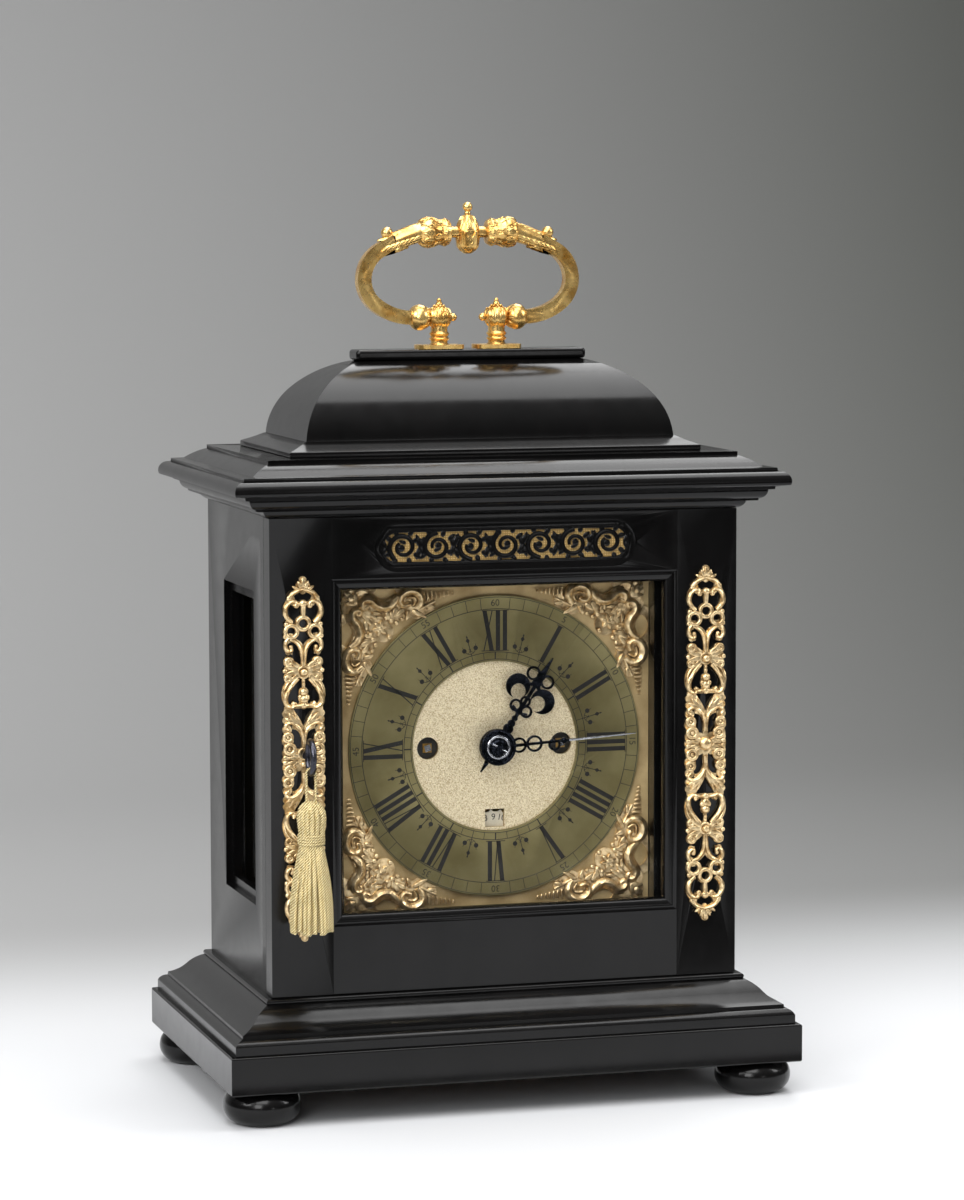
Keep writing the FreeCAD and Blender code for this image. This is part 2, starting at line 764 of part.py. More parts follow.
def make_front_door():
    z_low, z_high = z_case + gap, z_case_top - gap
    half_opening = opening_width / 2
    z_open = z_case + opening_above_case_bottom
    z_open_top = z_open + opening_height
    y0, y1 = y_front, y_door_back
    left = box(-half_width, -half_opening, y0, y1, z_low, z_high)
    right = box(half_opening, half_width, y0, y1, z_low, z_high)
    bottom = box(-half_opening, half_opening, y0, y1, z_low, z_open)
    top = box(-half_opening, half_opening, y0, y1, z_open_top, z_high)
    for z in hinge_heights:
        right = right.cut(box(half_width - leaf_width, half_width, y1 - leaf_thickness, y1,
                              z_case + z, z_case + z + hinge_length))
    nails = [(x, z) for x in (-stile_centre, stile_centre) for z in (z_dial - nail_above_centre,
                                                                     z_dial + nail_above_centre)]
    holes = [rod(nail_shank_radius + 0.05, V(x, y0 - 1, z), V(x, y0 + nail_depth, z)) for x, z in nails]
    left = left.cut(holes[:2] + [keyhole(y0 - 1, y1 + 1, key_clearance)])
    right = right.cut(holes[2:])
    z_fret = z_case + fret_above_case_bottom
    recess = fret_thickness + silk_thickness + fret_set_back
    top = top.cut([
        stadium(fret_length, fret_height, fret_clearance, y0 - 1, y0 + recess, z_fret),
        stadium(fret_length, fret_height, -fret_ledge, y0, y1 + 1, z_fret),
        stadium(fret_length, fret_height, groove_offset + groove_width, y0 - 1, y0 + groove_depth,
                z_fret).cut(
            stadium(fret_length, fret_height, groove_offset, y0 - 1, y0 + groove_depth, z_fret)),
    ])
    sight = [(0, -0.4), (-2, -0.4), (-2, -1.2), ((-4.9, -2.4), (-sight_width, -5.6)),
             (-sight_width, -glass_depth),
             (0, -glass_depth)]
    lengths = mitred_lengths(half_opening, opening_height / 2, sight, 1, sight_width)
    stood_up(lengths, V(0, y_front, (z_open + z_open_top) / 2))
    make("door_frame", left, right, bottom, top, *lengths)
    y_glass = y_front + glass_depth
    make("door_glass", box(-half_opening + gap, half_opening - gap, y_glass, y_glass + glass_thickness,
                           z_open + gap, z_open_top - gap))
    y_fret = y_front + fret_set_back
    plate = stadium(fret_length, fret_height, 0, y_fret, y_fret + fret_thickness, z_fret)
    make("door_fret", plate.cut(stood_up([plate_from(fret_pattern(), fret_thickness + 2)],
                                         V(0, y_fret + fret_thickness + 1, z_fret))))
    y_silk = y_fret + fret_thickness
    make("fret_silk", stadium(fret_length, fret_height, 0, y_silk, y_silk + silk_thickness, z_fret))
    heads = []
    for x, z in nails:
        y_head = y_front - mount_thickness
        head = [(0, -nail_depth - mount_thickness), (nail_shank_radius, -nail_depth - mount_thickness),
                (nail_shank_radius, 0), (nail_head_radius, 0),
                ((nail_head_radius * 0.75, 0.9), (0.01, 1.2)), (0, 1.2)]
        heads.append(turned(head, V(x, y_head, z), BACK * -1))
    make("mount_nails", *heads)


def fret_pattern():
    # Six scrolled cells: what is cut away is each cell less its ring, leaves and diagonals.
    cells = 6
    clear = stadium_face(fret_length - 2 * fret_border, fret_height - 2 * fret_border)
    pitch = (fret_length - 12) / cells
    ornament = []
    for i in range(cells):
        u = (i - (cells - 1) / 2) * pitch
        lean = 1 if i < cells / 2 else -1
        ornament += [
            ring_face(u, 0, 4.4, 2.2),
            disc_face(u + lean * 1.6, 1.4, 2.0),
            bar_face((u - lean * 4.4, -6.9), (u - lean * 1.5, -2.2), 2.6, 1.8),
            bar_face((u + lean * 4.4, 6.9), (u + lean * 1.5, 2.2), 2.6, 1.8),
            disc_face(u - lean * 7.2, 4.2, 2.5),
            disc_face(u + lean * 7.2, -4.2, 2.5),
            bar_face((u - lean * 9.6, 7.0), (u - lean * 3.4, 1.6), 2.0, 1.6),
            bar_face((u + lean * 9.6, -7.0), (u + lean * 3.4, -1.6), 2.0, 1.6),
        ]
    ornament += [bar_face((side * (fret_length / 2 - 0.5), 0), (side * (fret_length / 2 - 9), 0), 2.0, 3.6)
                 for side in (-1, 1)]
    return [clear.cut(joined(ornament))]


def stadium_face(length, height):
    radius, half = height / 2, (length - height) / 2
    outline = [(-half, -radius), (half, -radius), ((half + radius, 0), (half, radius)),
               (-half, radius), ((-half - radius, 0), (-half, -radius))]
    return Part.Face(Part.Wire(edges_along(outline, flat)))


# ---- pierced mounts ----

def mount_quarter():
    discs = [
        (0, 87.2, 1.8), (1.9, 84.6, 1.6), (0, 84.0, 2.0), (4.3, 76.2, 1.6), (5.9, 43.4, 3.7),
        (7.1, 47.6, 2.7),
        (7.2, 40.4, 2.5), (2.8, 44, 2.7), (0, 42.6, 3.4), (4.6, 26.6, 1.6), (0, 33, 2.3), (0, 30.2, 2.7),
        (8.6, 22.6, 1.9), (8.4, 19.4, 2.0), (8.2, 14.8, 2.3), (7.9, 9.4, 2.9), (7.2, 3.4, 3.4),
        (3.4, 2.2, 3.4),
        (0, 0, 3.6), (8.4, 0, 2.4), (7.4, 52.3, 1.3), (7.4, 66.4, 1.5), (7.9, 35.6, 1.9), (7.9, 12.0, 1.8),
        (0, 81.6, 1.3),
    ]
    bands = [
        (0, 75.2, 7.3, 2.2, 25, 155), (2.2, 72.6, 6.6, 2.2, -62, 72), (5.6, 53, 5.2, 1.8, 88, 182),
        (6.0, 55.2, 2.9, 1.8, -100, 80), (0.6, 32, 9.1, 2.3, -40, 50), (5.6, 11, 4.9, 1.6, 88, 178),
    ]
    bars = [
        ((-0.5, 75.9), (4.3, 75.9), 1.6, 1.6), ((0, 76.2), (0, 68.6), 3.0, 1.6),
        ((0, 53.6), (0, 45), 2.2, 2.2),
        ((4.6, 26.6), (8.4, 25.4), 1.9, 2.2), ((-0.5, 26.2), (5, 26.2), 2.2, 2.2),
        ((0, 40.4), (0, 34), 1.5, 1.5),
        ((0, 30), (0, 26), 3.6, 5.0), ((7.6, 25.0), (0.6, 14.6), 4.4, 2.8), ((0, 15.4), (0, 2), 2.4, 2.4),
        ((0, 82.4), (0, 84), 2.0, 2.0), ((8.4, 26), (8.6, 22), 2.2, 2.6),
        ((8.4, 19.4), (8.2, 12), 2.2, 2.2),
        ((7.9, 9), (7.4, 3), 2.4, 2.4), ((7.6, 37.4), (7.2, 40.4), 2.2, 2.2),
        ((6.5, 58.0), (6.0, 61.5), 2.0, 2.0),
    ]
    rings = [(0, 66.2, 3.1, 2.0), (5.9, 62.4, 3.0, 2.0)]
    faces = [disc_face(*disc) for disc in discs]
    faces += [band_face(*band) for band in bands]
    faces += [bar_face(*bar) for bar in bars]
    return faces + [ring_face(*ring) for ring in rings]


def make_mounts():
    half = joined([face.extrude(UP * mount_thickness) for face in mount_quarter()])
    for normal in (RIGHT, BACK):
        half = joined([half, half.mirror(V(0, 0, 0), normal)])
    for name, x in (("door_mount_left", -stile_centre), ("door_mount_right", stile_centre)):
        holes = [rod(nail_shank_radius + 0.05, V(0, v, -1), V(0, v, mount_thickness + 1))
                 for v in (-nail_above_centre, nail_above_centre)]
        mount = stood_up([half.cut(holes)], V(x, y_front, z_dial))[0]
        if x < 0:
            mount = mount.cut(keyhole(y_front - mount_thickness - 1, y_front + 1, key_clearance))
        make(name, *mount.Solids)


# ---- lock, key and tassel ----

def make_lock():
    x0, x1 = x_lock_left, x_lock_left + lock_width
    y0, y1 = y_door_back, y_door_back + lock_depth
    z0, z1 = z_key - lock_height / 2, z_key + lock_height / 2
    wall = lock_wall
    case = box(x0, x1, y0, y1, z0,
               z1).cut(box(x0 + wall, x1 - wall, y0 + wall, y1 - wall, z0 + wall, z1 - wall))
    bolt = box(x0, x0 + bolt_length, y_bolt - bolt_thickness / 2, y_bolt + bolt_thickness / 2,
               z_bolt - bolt_height / 2, z_bolt + bolt_height / 2)
    half_thick, half_high = bolt_thickness / 2 + fit_clearance, bolt_height / 2 + fit_clearance
    slot = box(x0 - 1, x0 + wall + 1, y_bolt - half_thick, y_bolt + half_thick, z_bolt - half_high,
               z_bolt + half_high)
    make("lock_case", case.cut([slot, keyhole(y0 - 1, y0 + wall + 0.5, key_clearance)]))
    make("lock_bolt", bolt)
    y_bow = y_front - bow_centre
    centre = V(x_key, y_bow, z_key)
    tall, deep = (bow_height - bow_wire) / 2, (bow_width - bow_wire) / 2
    bow = oval_ring(centre, tall, deep, bow_wire / 2)
    shank = rod(key_shank_radius, V(x_key, y_bow + deep, z_key),
                V(x_key, y_door_back + lock_depth - wall - gap, z_key))
    collar = rod(key_shank_radius + 0.9, V(x_key, y_bow + deep + 1.6, z_key),
                 V(x_key, y_bow + deep + 3.2, z_key))
    bit = box(x_key - key_bit_thickness / 2, x_key + key_bit_thickness / 2, y_bolt - key_bit_length / 2,
              y_bolt + key_bit_length / 2, z_key - key_shank_radius - key_bit_length, z_key)
    make("door_key", joined([bow, shank, collar, bit]))
    # The loop of cord hangs round the bottom of the bow, the tassel under it.
    z_limb = z_key - tall
    loop = (bow_wire + tassel_loop_wire) / 2 + gap
    path = [(-loop, -tassel_loop_drop), (-loop, 0), ((0, loop), (loop, 0)), (loop, -tassel_loop_drop)]
    wire = Part.Wire(edges_along(path, lambda u, v: V(x_key + u, y_bow, z_limb + v)))
    start = Part.Wire(Part.makeCircle(tassel_loop_wire / 2,
                                      V(x_key - loop, y_bow, z_limb - tassel_loop_drop), UP))
    cord = wire.makePipeShell([start], True, False)
    head, neck, skirt = tassel_head_radius, tassel_neck_radius, tassel_skirt_radius
    profile = [(0, 0), (2.2, 0.4), ((head * 0.86, -3), (head, -8)), ((head - 0.3, -12), (neck, -15.2)),
               (neck, -20.4), ((neck + 2.6, -30), (skirt - 0.6, -47)),
               ((skirt, -55), (skirt, -tassel_length)),
               (0, -tassel_length)]
    body = turned(profile, V(x_key, y_bow, z_limb - tassel_loop_drop + 1))
    make("key_tassel", joined([cord, body]))


def oval_ring(centre, tall, deep, wire_radius):
    # Four tangent arcs in the YZ plane, swept by the round wire.
    small = deep * 0.86
    reach = tall - small
    large = (reach * reach + deep * deep - small * small) / (2 * (deep - small))
    turn = math.atan2(reach, large - deep)
    bend_y, bend_z = small * math.cos(turn), reach + small * math.sin(turn)
    path = [(deep, 0),
            ((large * math.cos(turn / 2) - (large - deep), large * math.sin(turn / 2)), (bend_y, bend_z)),
            ((0, tall), (-bend_y, bend_z)), ((-deep, 0), (-bend_y, -bend_z)),
            ((0, -tall), (bend_y, -bend_z)),
            ((large * math.cos(turn / 2) - (large - deep), -large * math.sin(turn / 2)), (deep, 0))]
    wire = Part.Wire(edges_along(path, lambda u, v: centre + BACK * u + UP * v))
    profile = Part.Wire(Part.makeCircle(wire_radius, centre + BACK * deep, UP))
    return wire.makePipeShell([profile], True, False)


# ---- hinges ----

def make_hinge(axis_x, axis_y, z_low, case_leaf, door_leaf):
    # Three knuckles on one pin. The outer two and the pin are the case's, the middle one the door's.
    length = (hinge_length - 2 * gap) / 3
    levels = [z_low + i * (length + gap) for i in range(3)]
    case_side, door_side = [], []
    for i, z in enumerate(levels):
        knuckle = rod(knuckle_radius, V(axis_x, axis_y, z), V(axis_x, axis_y, z + length))
        leaf_x, leaf_y = case_leaf if i != 1 else door_leaf
        tab = box(min(leaf_x, axis_x), max(leaf_x, axis_x), leaf_y, leaf_y + leaf_thickness, z, z + length)
        (case_side if i != 1 else door_side).append(knuckle.fuse(tab))
    pin = rod(hinge_pin_radius, V(axis_x, axis_y, z_low), V(axis_x, axis_y, z_low + hinge_length))
    for pieces, (leaf_x, leaf_y) in ((case_side, case_leaf), (door_side, door_leaf)):
        far = leaf_x - leaf_width if axis_x > leaf_x else leaf_x + leaf_width
        pieces.append(box(min(leaf_x, far), max(leaf_x, far), leaf_y, leaf_y + leaf_thickness, z_low,
                          z_low + hinge_length))
    bore = rod(hinge_pin_radius + pin_clearance, V(axis_x, axis_y, z_low - 1),
               V(axis_x, axis_y, z_low + hinge_length + 1))
    return joined(case_side + [pin]), joined(door_side).cut(bore)


def make_hinges():
    case_parts, front_leaves, back_leaves = [], [], []
    for height in hinge_heights:
        z = z_case + height
        fixed, moving = make_hinge(x_front_hinge, y_front_hinge, z, (half_width, y_side_front),
                                   (half_width, y_door_back - leaf_thickness))
        case_parts.append(fixed)
        front_leaves.append(moving)
        fixed, moving = make_hinge(x_back_hinge, y_back_hinge, z, (x_back_hinge + 2.2, y_back),
                                   (x_back_hinge - 2.2, y_back))
        case_parts.append(fixed)
        back_leaves.append(moving)
    keeper = keeper_box(keeper_thickness, 0).cut(bolt_way())
    make("case_hinges_and_keeper", *case_parts, keeper)
    make("front_door_hinge_leaves", *front_leaves)
    make("back_door_hinge_leaves", *back_leaves)


# ---- glazed back door with its turn button ----

def make_back_door():
    half = side_inner - gap
    z_low, z_high = z_case + gap, z_case_top - gap
    y0, y1 = y_back - back_door_thickness, y_back
    stile = back_stile
    rebate = box(-half + stile - 4, half - stile + 4, y0 - 1, y0 + 4, z_low + stile - 4, z_high - stile + 4)
    pieces = [
        box(-half, -half + stile, y0, y1, z_low, z_high), box(half - stile, half, y0, y1, z_low, z_high),
        box(-half + stile, half - stile, y0, y1, z_low, z_low + stile),
        box(-half + stile, half - stile, y0, y1, z_high - stile, z_high),
    ]
    stem = rod(button_stem + 0.1, V(x_button, y1 - button_depth, z_dial), V(x_button, y1 + 1, z_dial))
    make("back_door_frame", *[piece.cut(rebate).cut(stem) for piece in pieces])
    edge = stile - 4 + gap
    make("back_door_glass",
         box(-half + edge, half - edge, y0 + 4 - glass_thickness, y0 + 4, z_low + edge, z_high - edge))
    z0, z1 = z_dial - button_length / 2, z_dial + button_length / 2
    y_lever = y1 + button_lift
    lever = box(x_button - 3, x_button + 3, y_lever, y_lever + 2, z0, z1)
    lever = lever.makeFillet(2.9, [e for e in lever.Edges if abs(e.tangentAt(e.FirstParameter).y) > 0.9])
    boss = rod(3.5, V(x_button, y1 + gap, z_dial), V(x_button, y_lever + 2.6, z_dial))
    pin = rod(button_stem, V(x_button, y1 - button_depth + gap, z_dial), V(x_button, y1 + 1, z_dial))
    make("back_door_turn_button", joined([lever, boss, pin]))


# ---- dial ----

def make_dial():
    frame_half_z = dial_height / 2
    mask_half = mask_opening / 2
    y0, y1 = y_side_front, y_dial - gap
    x1 = side_inner
    lock = box(-x1 - 1, x_lock_left + lock_width + lock_room, y0 - 1, y1 + 1,
               z_key - lock_height / 2 - lock_room, z_key + lock_height / 2 + lock_room)
    mask = [
        box(-x1, -mask_half, y0, y1, z_case, z_case_top).cut(lock),
        box(mask_half, x1, y0, y1, z_case, z_case_top),
        box(-mask_half, mask_half, y0, y1, z_case, z_dial - frame_half_z),
        box(-mask_half, mask_half, y0, y1, z_dial + frame_half_z, z_case_top),
    ]
    make("dial_mask", *mask)
    plate = box(-dial_width / 2, dial_width / 2, y_dial, y_dial + dial_thickness, z_dial - frame_half_z,
                z_dial + frame_half_z)
    y_back_of_dial = y_dial + dial_thickness
    holes = [rod(hour_pipe_radius + 2 * running, V(0, y_dial - 1, z_dial),
                 V(0, y_back_of_dial + 1, z_dial))]
    holes += [rod(winding_hole_radius, V(x, y_dial - 1, z_dial),
                  V(x, y_back_of_dial + 1, z_dial)) for x in winding_places]
    z_window = z_dial - date_window_below_centre
    holes.append(box(-date_window_width / 2, date_window_width / 2, y_dial - 1, y_back_of_dial + 1,
                     z_window - date_window_height / 2, z_window + date_window_height / 2))
    feet = [rod(dial_foot_radius, V(x, y_back_of_dial - 0.5, z), V(x, y_plate_front, z))
            for x in (-dial_foot_x, dial_foot_x) for z in (z_dial - dial_foot_z, z_dial + dial_foot_z)]
    stud = rod(date_stud_radius, V(0, y_back_of_dial - 0.5, z_date), V(0, y_back_of_dial + 2.2, z_date))
    head = rod(date_stud_radius + 1.2, V(0, y_back_of_dial + 1.8, z_date),
               V(0, y_back_of_dial + 2.6, z_date))
    make("dial_plate", joined([plate.cut(holes), stud, head] + feet))
    ring = ring_face(0, 0, (ring_outer + ring_inner) / 2,
                     ring_outer - ring_inner).extrude(UP * ring_thickness)
    make("chapter_ring", *stood_up([ring], V(0, y_dial, z_dial)))
    disc = flat_wheel(date_disc_radius, date_teeth, date_disc_thickness, date_stud_radius + running, 1.2)
    y_disc = y_back_of_dial + date_disc_gap
    make("date_disc", *stood_up([disc], V(0, y_disc + date_disc_thickness, z_date)))


def flat_wheel(radius, teeth, thickness, bore, depth):
    # A disc with plain pointed teeth, as a date disc has.
    corners = []
    for i in range(teeth):
        corners.append(polar(0, 0, radius, 360 * i / teeth))
        corners.append(polar(0, 0, radius - depth, 360 * (i + 0.25) / teeth))
        corners.append(polar(0, 0, radius - depth, 360 * (i + 0.75) / teeth))
    return face_along(corners, flat).cut(disc_face(0, 0, bore)).extrude(UP * thickness)


def spandrel_faces():
    # One corner casting; u runs along the top edge, v down the side, both from the corner of the plate.
    half = [
        ("disc", 7.5, 12.5, 4.6), ("disc", 12.2, 16.4, 3.4), ("disc", 5.0, 7.4, 2.2),
        ("disc", 18.4, 10.2, 3.0),
        ("band", 24.6, 7.0, 8.6, 4.6, 200, 335), ("band", 24.6, 7.0, 8.6, 4.6, 335, 360),
        ("disc", 26.2, 14.6, 3.2), ("disc", 31.6, 11.2, 2.6), ("band", 42.5, 9.0, 7.2, 3.8, 30, 200),
        ("disc", 47.2, 10.2, 2.8), ("bar", 45, 3.6, 55, 4.4, 4.4, 4.8), ("bar", 54, 4.4, 65, 5.4, 4.8, 2.0),
        ("disc", 36.0, 4.6, 2.4), ("bar", 34.6, 15.2, 45.0, 12.2, 5.0, 3.4),
        ("bar", 24, 18, 33.6, 14.6, 5.4, 4.6),
        ("disc", 21.2, 19.0, 3.0), ("bar", 9, 12, 20, 19, 4.2, 3.6), ("bar", 14, 8, 19, 10, 3.0, 2.6),
        ("bar", 33, 5, 38, 3.6, 3.2, 3.2), ("disc", 41, 3.8, 2.4),
    ]
    faces = [disc_face(23.2, 23.2, 5.4), bar_face((8, 8), (22, 22), 5.0, 4.0)]
    for kind, *numbers in half:
        for swap in (False, True):
            if kind == "disc":
                u, v, radius = numbers
                face = disc_face(u, v, radius)
            elif kind == "band":
                face = band_face(*numbers)
            else:
                u0, v0, u1, v1, w0, w1 = numbers
                face = bar_face((u0, v0), (u1, v1), w0, w1)
            if swap:
                face = face.mirror(V(0, 0, 0), V(1, -1, 0))
            faces.append(face)
    return faces


def make_spandrels():
    corner = joined([face.extrude(UP * spandrel_thickness) for face in spandrel_faces()])
    clear = Part.makeCylinder(ring_outer + spandrel_clearance, spandrel_thickness + 2,
                              V(dial_width / 2, dial_height / 2, -1))
    sheet = Part.makeBox(dial_width / 2 - 2, dial_height / 2 - 2, spandrel_thickness + 2,
                         V(spandrel_clearance, spandrel_clearance, -1))
    corner = corner.cut(clear).common(sheet)
    corner = max(corner.Solids, key=lambda solid: solid.Volume)
    corner.translate(V(-dial_width / 2, -dial_height / 2, 0))
    left = [corner, corner.mirror(V(0, 0, 0), BACK)]
    castings = left + [piece.mirror(V(0, 0, 0), RIGHT) for piece in left]
    make("spandrels", *stood_up(castings, V(0, y_dial, z_dial)))


# ---- hands ----

def hour_hand_faces():
    faces = [
        ring_face(0, 0, 6.4, 5.0), bar_face((0, -8), (0, -15), 2.6, 0.5), disc_face(0, 10.5, 2.6),
        disc_face(0, 13.6, 1.9), bar_face((0, 8), (0, 41), 1.9, 1.6), disc_face(0, 16.6, 1.5),
        bar_face((0, 36), (0, hour_hand_length), 5.0, 0.4), ring_face(0, 26.5, 2.2, 1.1),
        disc_face(0, 41.2, 2.2),
    ]
    for side in (-1, 1):
        faces.append(ring_face(side * 3.2, 22.4, 2.6, 1.1))
        faces.append(disc_face(side * 7.6, 31, 6.2).cut(disc_face(side * 6.0, 28.8, 3.9)))
        faces.append(ring_face(side * 4.3, 40.4, 3.0, 1.1))
        faces.append(bar_face((0, 36.4), (side * 5.6, 33.6), 1.6, 1.8))
        faces.append(bar_face((0, 19.6), (side * 4.4, 21.4), 1.4, 1.2))
    return faces


def minute_hand_faces():
    return [
        ring_face(0, 0, 4.4, 4.2), bar_face((0, 5), (0, 28), 1.5, 1.3), ring_face(0, 10.8, 3.3, 1.1),
        ring_face(0, 18.7, 3.6, 1.1), disc_face(0, 14.7, 1.3), band_face(1.5, 29, 2.6, 1.1, -170, 120),
        bar_face((0, 26), (0, 34), 1.2, 1.3), disc_face(0, 33.8, 1.5),
        bar_face((0, 33), (0, minute_hand_length), 1.3, 0.4),
    ]


def hand(faces, bore, degrees, y, extras=()):
    # Made pointing up, then turned clockwise; y is the front face.
    solid = joined([face.extrude(UP * hand_thickness) for face in faces] + list(extras))
    solid = solid.cut(rod(bore, V(0, 0, -9), V(0, 0, 9)))
    solid.rotate(V(0, 0, 0), UP, -degrees)
    return stood_up([solid], V(0, y + hand_thickness, z_dial))[0]


def make_hands():
    make("hour_hand", hand(hour_hand_faces(), hour_pipe_radius, hour_hand_angle, y_hour_hand))
    collet = turned([(0, hand_thickness), (4.6, hand_thickness),
                     ((3.6, hand_thickness + 1.3), (1.0, hand_thickness + 1.7)),
                     (0, hand_thickness + 1.7)], V(0, 0, 0))
    cap = rod(1.5, V(0, 0, hand_thickness + 0.5), V(0, 0, hand_thickness + 2.8))
    solid = hand(minute_hand_faces(), cannon_pipe_radius, minute_hand_angle, y_minute_hand)
    top = stood_up([joined([collet, cap])], V(0, y_minute_hand + hand_thickness, z_dial))[0]
    pinned = rod(0.5, V(-4.2, y_minute_hand - 2.2, z_dial), V(4.2, y_minute_hand - 2.2, z_dial))
    make("minute_hand", joined([solid, top, pinned]))


# ---- gear teeth: flat-sided, so that meshing wheels keep clear of each other ----

def toothed(teeth, radii, half_widths, tooth_at):
    # Corners of a wheel, each tooth given by its half width at each radius from root to tip.
    corners = []
    for i in range(teeth):
        centre = tooth_at + 360 * i / teeth
        flank = [(r, math.degrees(math.asin(w / r))) for r, w in zip(radii, half_widths)]
        corners += [polar(0, 0, r, centre - turn) for r, turn in flank]
        corners += [polar(0, 0, r, centre + turn) for r, turn in reversed(flank)]
    return face_along(corners, flat)


def wheel(teeth, module, tooth_at, thickness, bore, hub=3.4):
    radius = teeth * module / 2
    face = toothed(teeth, (radius - module, radius, radius + 0.9 * module),
                   (0.72 * module, 0.6 * module, 0.35 * module), tooth_at)
    holes = [face_along([polar(0, 0, bore / math.cos(math.pi / 12), 30 * i) for i in range(12)], flat)]
    rim = radius - module - 1.6
    if rim > hub + 2:
        for i in range(4):
            inner = [polar(0, 0, hub + 1, a) for a in (45 + 90 * i + 18, 45 + 90 * i - 18)]
            outer = [polar(0, 0, rim, a) for a in range(45 + 90 * i - 36, 45 + 90 * i + 37, 18)]
            holes.append(face_along(inner + outer, flat))
    return face.cut(holes).extrude(UP * thickness)


def pinion(leaves, module, tooth_at, length):
    radius = leaves * module / 2
    face = toothed(leaves, (radius - 1.3 * module, radius, radius + 0.45 * module),
                   (0.4 * module, 0.45 * module, 0.3 * module), tooth_at)
    return face.extrude(UP * length)


def set_up(solid, x, z, y_rear):
    # A piece made flat, stood up facing the front with its rear face at y_rear; z is above the dial centre.
    return stood_up([solid], V(x, y_rear, z_dial + z))[0]


def arbor_pieces(x, z, stretches, radius):
    # The round lengths of an arbor, between and beyond its pinion.
    return [rod(radius, V(x, y0, z_dial + z), V(x, y1, z_dial + z)) for y0, y1 in stretches]


def pivots(x, z):
    front = rod(pivot_radius, V(x, y_plate_front + 0.3, z_dial + z), V(x, y_inner_front, z_dial + z))
    back = rod(pivot_radius, V(x, y_inner_back, z_dial + z), V(x, y_back_plate_rear - 0.3, z_dial + z))
    return [front, back]


def train_arbor(name, place, wheel_data, pinion_data, extras=()):
    # One arbor between the plates with its wheel and its pinion.
    x, z = place
    teeth, module, tooth_at, y_wheel = wheel_data
    leaves, leaf_module, leaf_at, y_pinion = pinion_data
    solids = [
        set_up(wheel(teeth, module, tooth_at, wheel_thickness, arbor_radius), x, z,
               y_wheel + wheel_thickness),
        set_up(pinion(leaves, leaf_module, leaf_at, pinion_length), x, z, y_pinion + pinion_length),
    ]
    solids += arbor_pieces(x, z, ((y_inner_front, y_pinion), (y_pinion + pinion_length, y_inner_back)),
                           arbor_radius)
    solids += pivots(x, z) + list(extras)
    make(name, *solids)
    pivot_holes.append((x, z, pivot_radius, True, True))


def crown_gear(radius, teeth, tooth_at, tooth_height, half_root, half_tip, band_width, band_height, bore):
    # A wheel whose teeth stand on its rim, parallel with the arbor: disc, band and teeth, growing up.
    outer = [polar(0, 0, radius + band_width / 2, 360 * i / teeth) for i in range(teeth)]
    inner = [polar(0, 0, radius - band_width / 2, 360 * i / teeth) for i in range(teeth)]
    hole = face_along([polar(0, 0, bore / math.cos(math.pi / 12), 30 * i) for i in range(12)], flat)
    disc = face_along(outer, flat).cut(hole).extrude(UP * crown_disc)
    band = face_along(outer, flat).cut(face_along(inner, flat)).extrude(UP * band_height)
    teeth_solids = []
    for i in range(teeth):
        profile = [(-half_root, band_height - 0.4), (half_root, band_height - 0.4),
                   (half_root, band_height),
                   (half_tip, band_height + tooth_height), (-half_tip, band_height + tooth_height),
                   (-half_root, band_height)]
        near = radius - band_width / 2 + 0.15
        tooth = face_along(profile, lambda u, v: V(near, u, v)).extrude(RIGHT * (band_width - 0.3))
        tooth.rotate(V(0, 0, 0), UP, tooth_at + 360 * i / teeth)
        teeth_solids.append(tooth)
    return joined([disc, band] + teeth_solids)


# ---- going train ----

def fusee(x, teeth, tooth_at, module):
    cone = [(0, 0), (fusee_large_radius, 0), ((fusee_small_radius + 4.2, fusee_length * 0.45),
                                              (fusee_small_radius, fusee_length)), (0, fusee_length)]
    y_cone = y_great + great_wheel_thickness
    solids = [
        turned(cone, V(x, y_cone, z_dial), BACK),
        set_up(wheel(teeth, module, tooth_at, great_wheel_thickness, fusee_arbor_radius, 8), x, 0, y_cone),
        rod(fusee_arbor_radius, V(x, y_square_end, z_dial), V(x, y_cone, z_dial)),
        box(x - square_side / 2, x + square_side / 2, y_dial + square_set_back, y_square_end,
            z_dial - square_side / 2, z_dial + square_side / 2),
        rod(fusee_rear_radius, V(x, y_cone + fusee_length, z_dial), V(x, y_back_plate_rear - 0.3, z_dial)),
    ]
    pivot_holes.append((x, 0, fusee_arbor_radius, True, False))
    pivot_holes.append((x, 0, fusee_rear_radius, False, True))
    return solids


def barrel(x):
    z = z_dial - barrel_below_fusee
    drum = rod(barrel_radius, V(x, y_barrel, z), V(x, y_barrel + barrel_length, z))
    hollow = rod(barrel_radius - barrel_wall, V(x, y_barrel + barrel_wall, z),
                 V(x, y_barrel + barrel_length - barrel_wall, z))
    arbor = rod(barrel_arbor_radius, V(x, y_plate_front + 0.3, z), V(x, y_back_plate_rear - 0.3, z))
    pivot_holes.append((x, -barrel_below_fusee, barrel_arbor_radius, True, True))
    return joined([drum.cut(hollow), arbor])


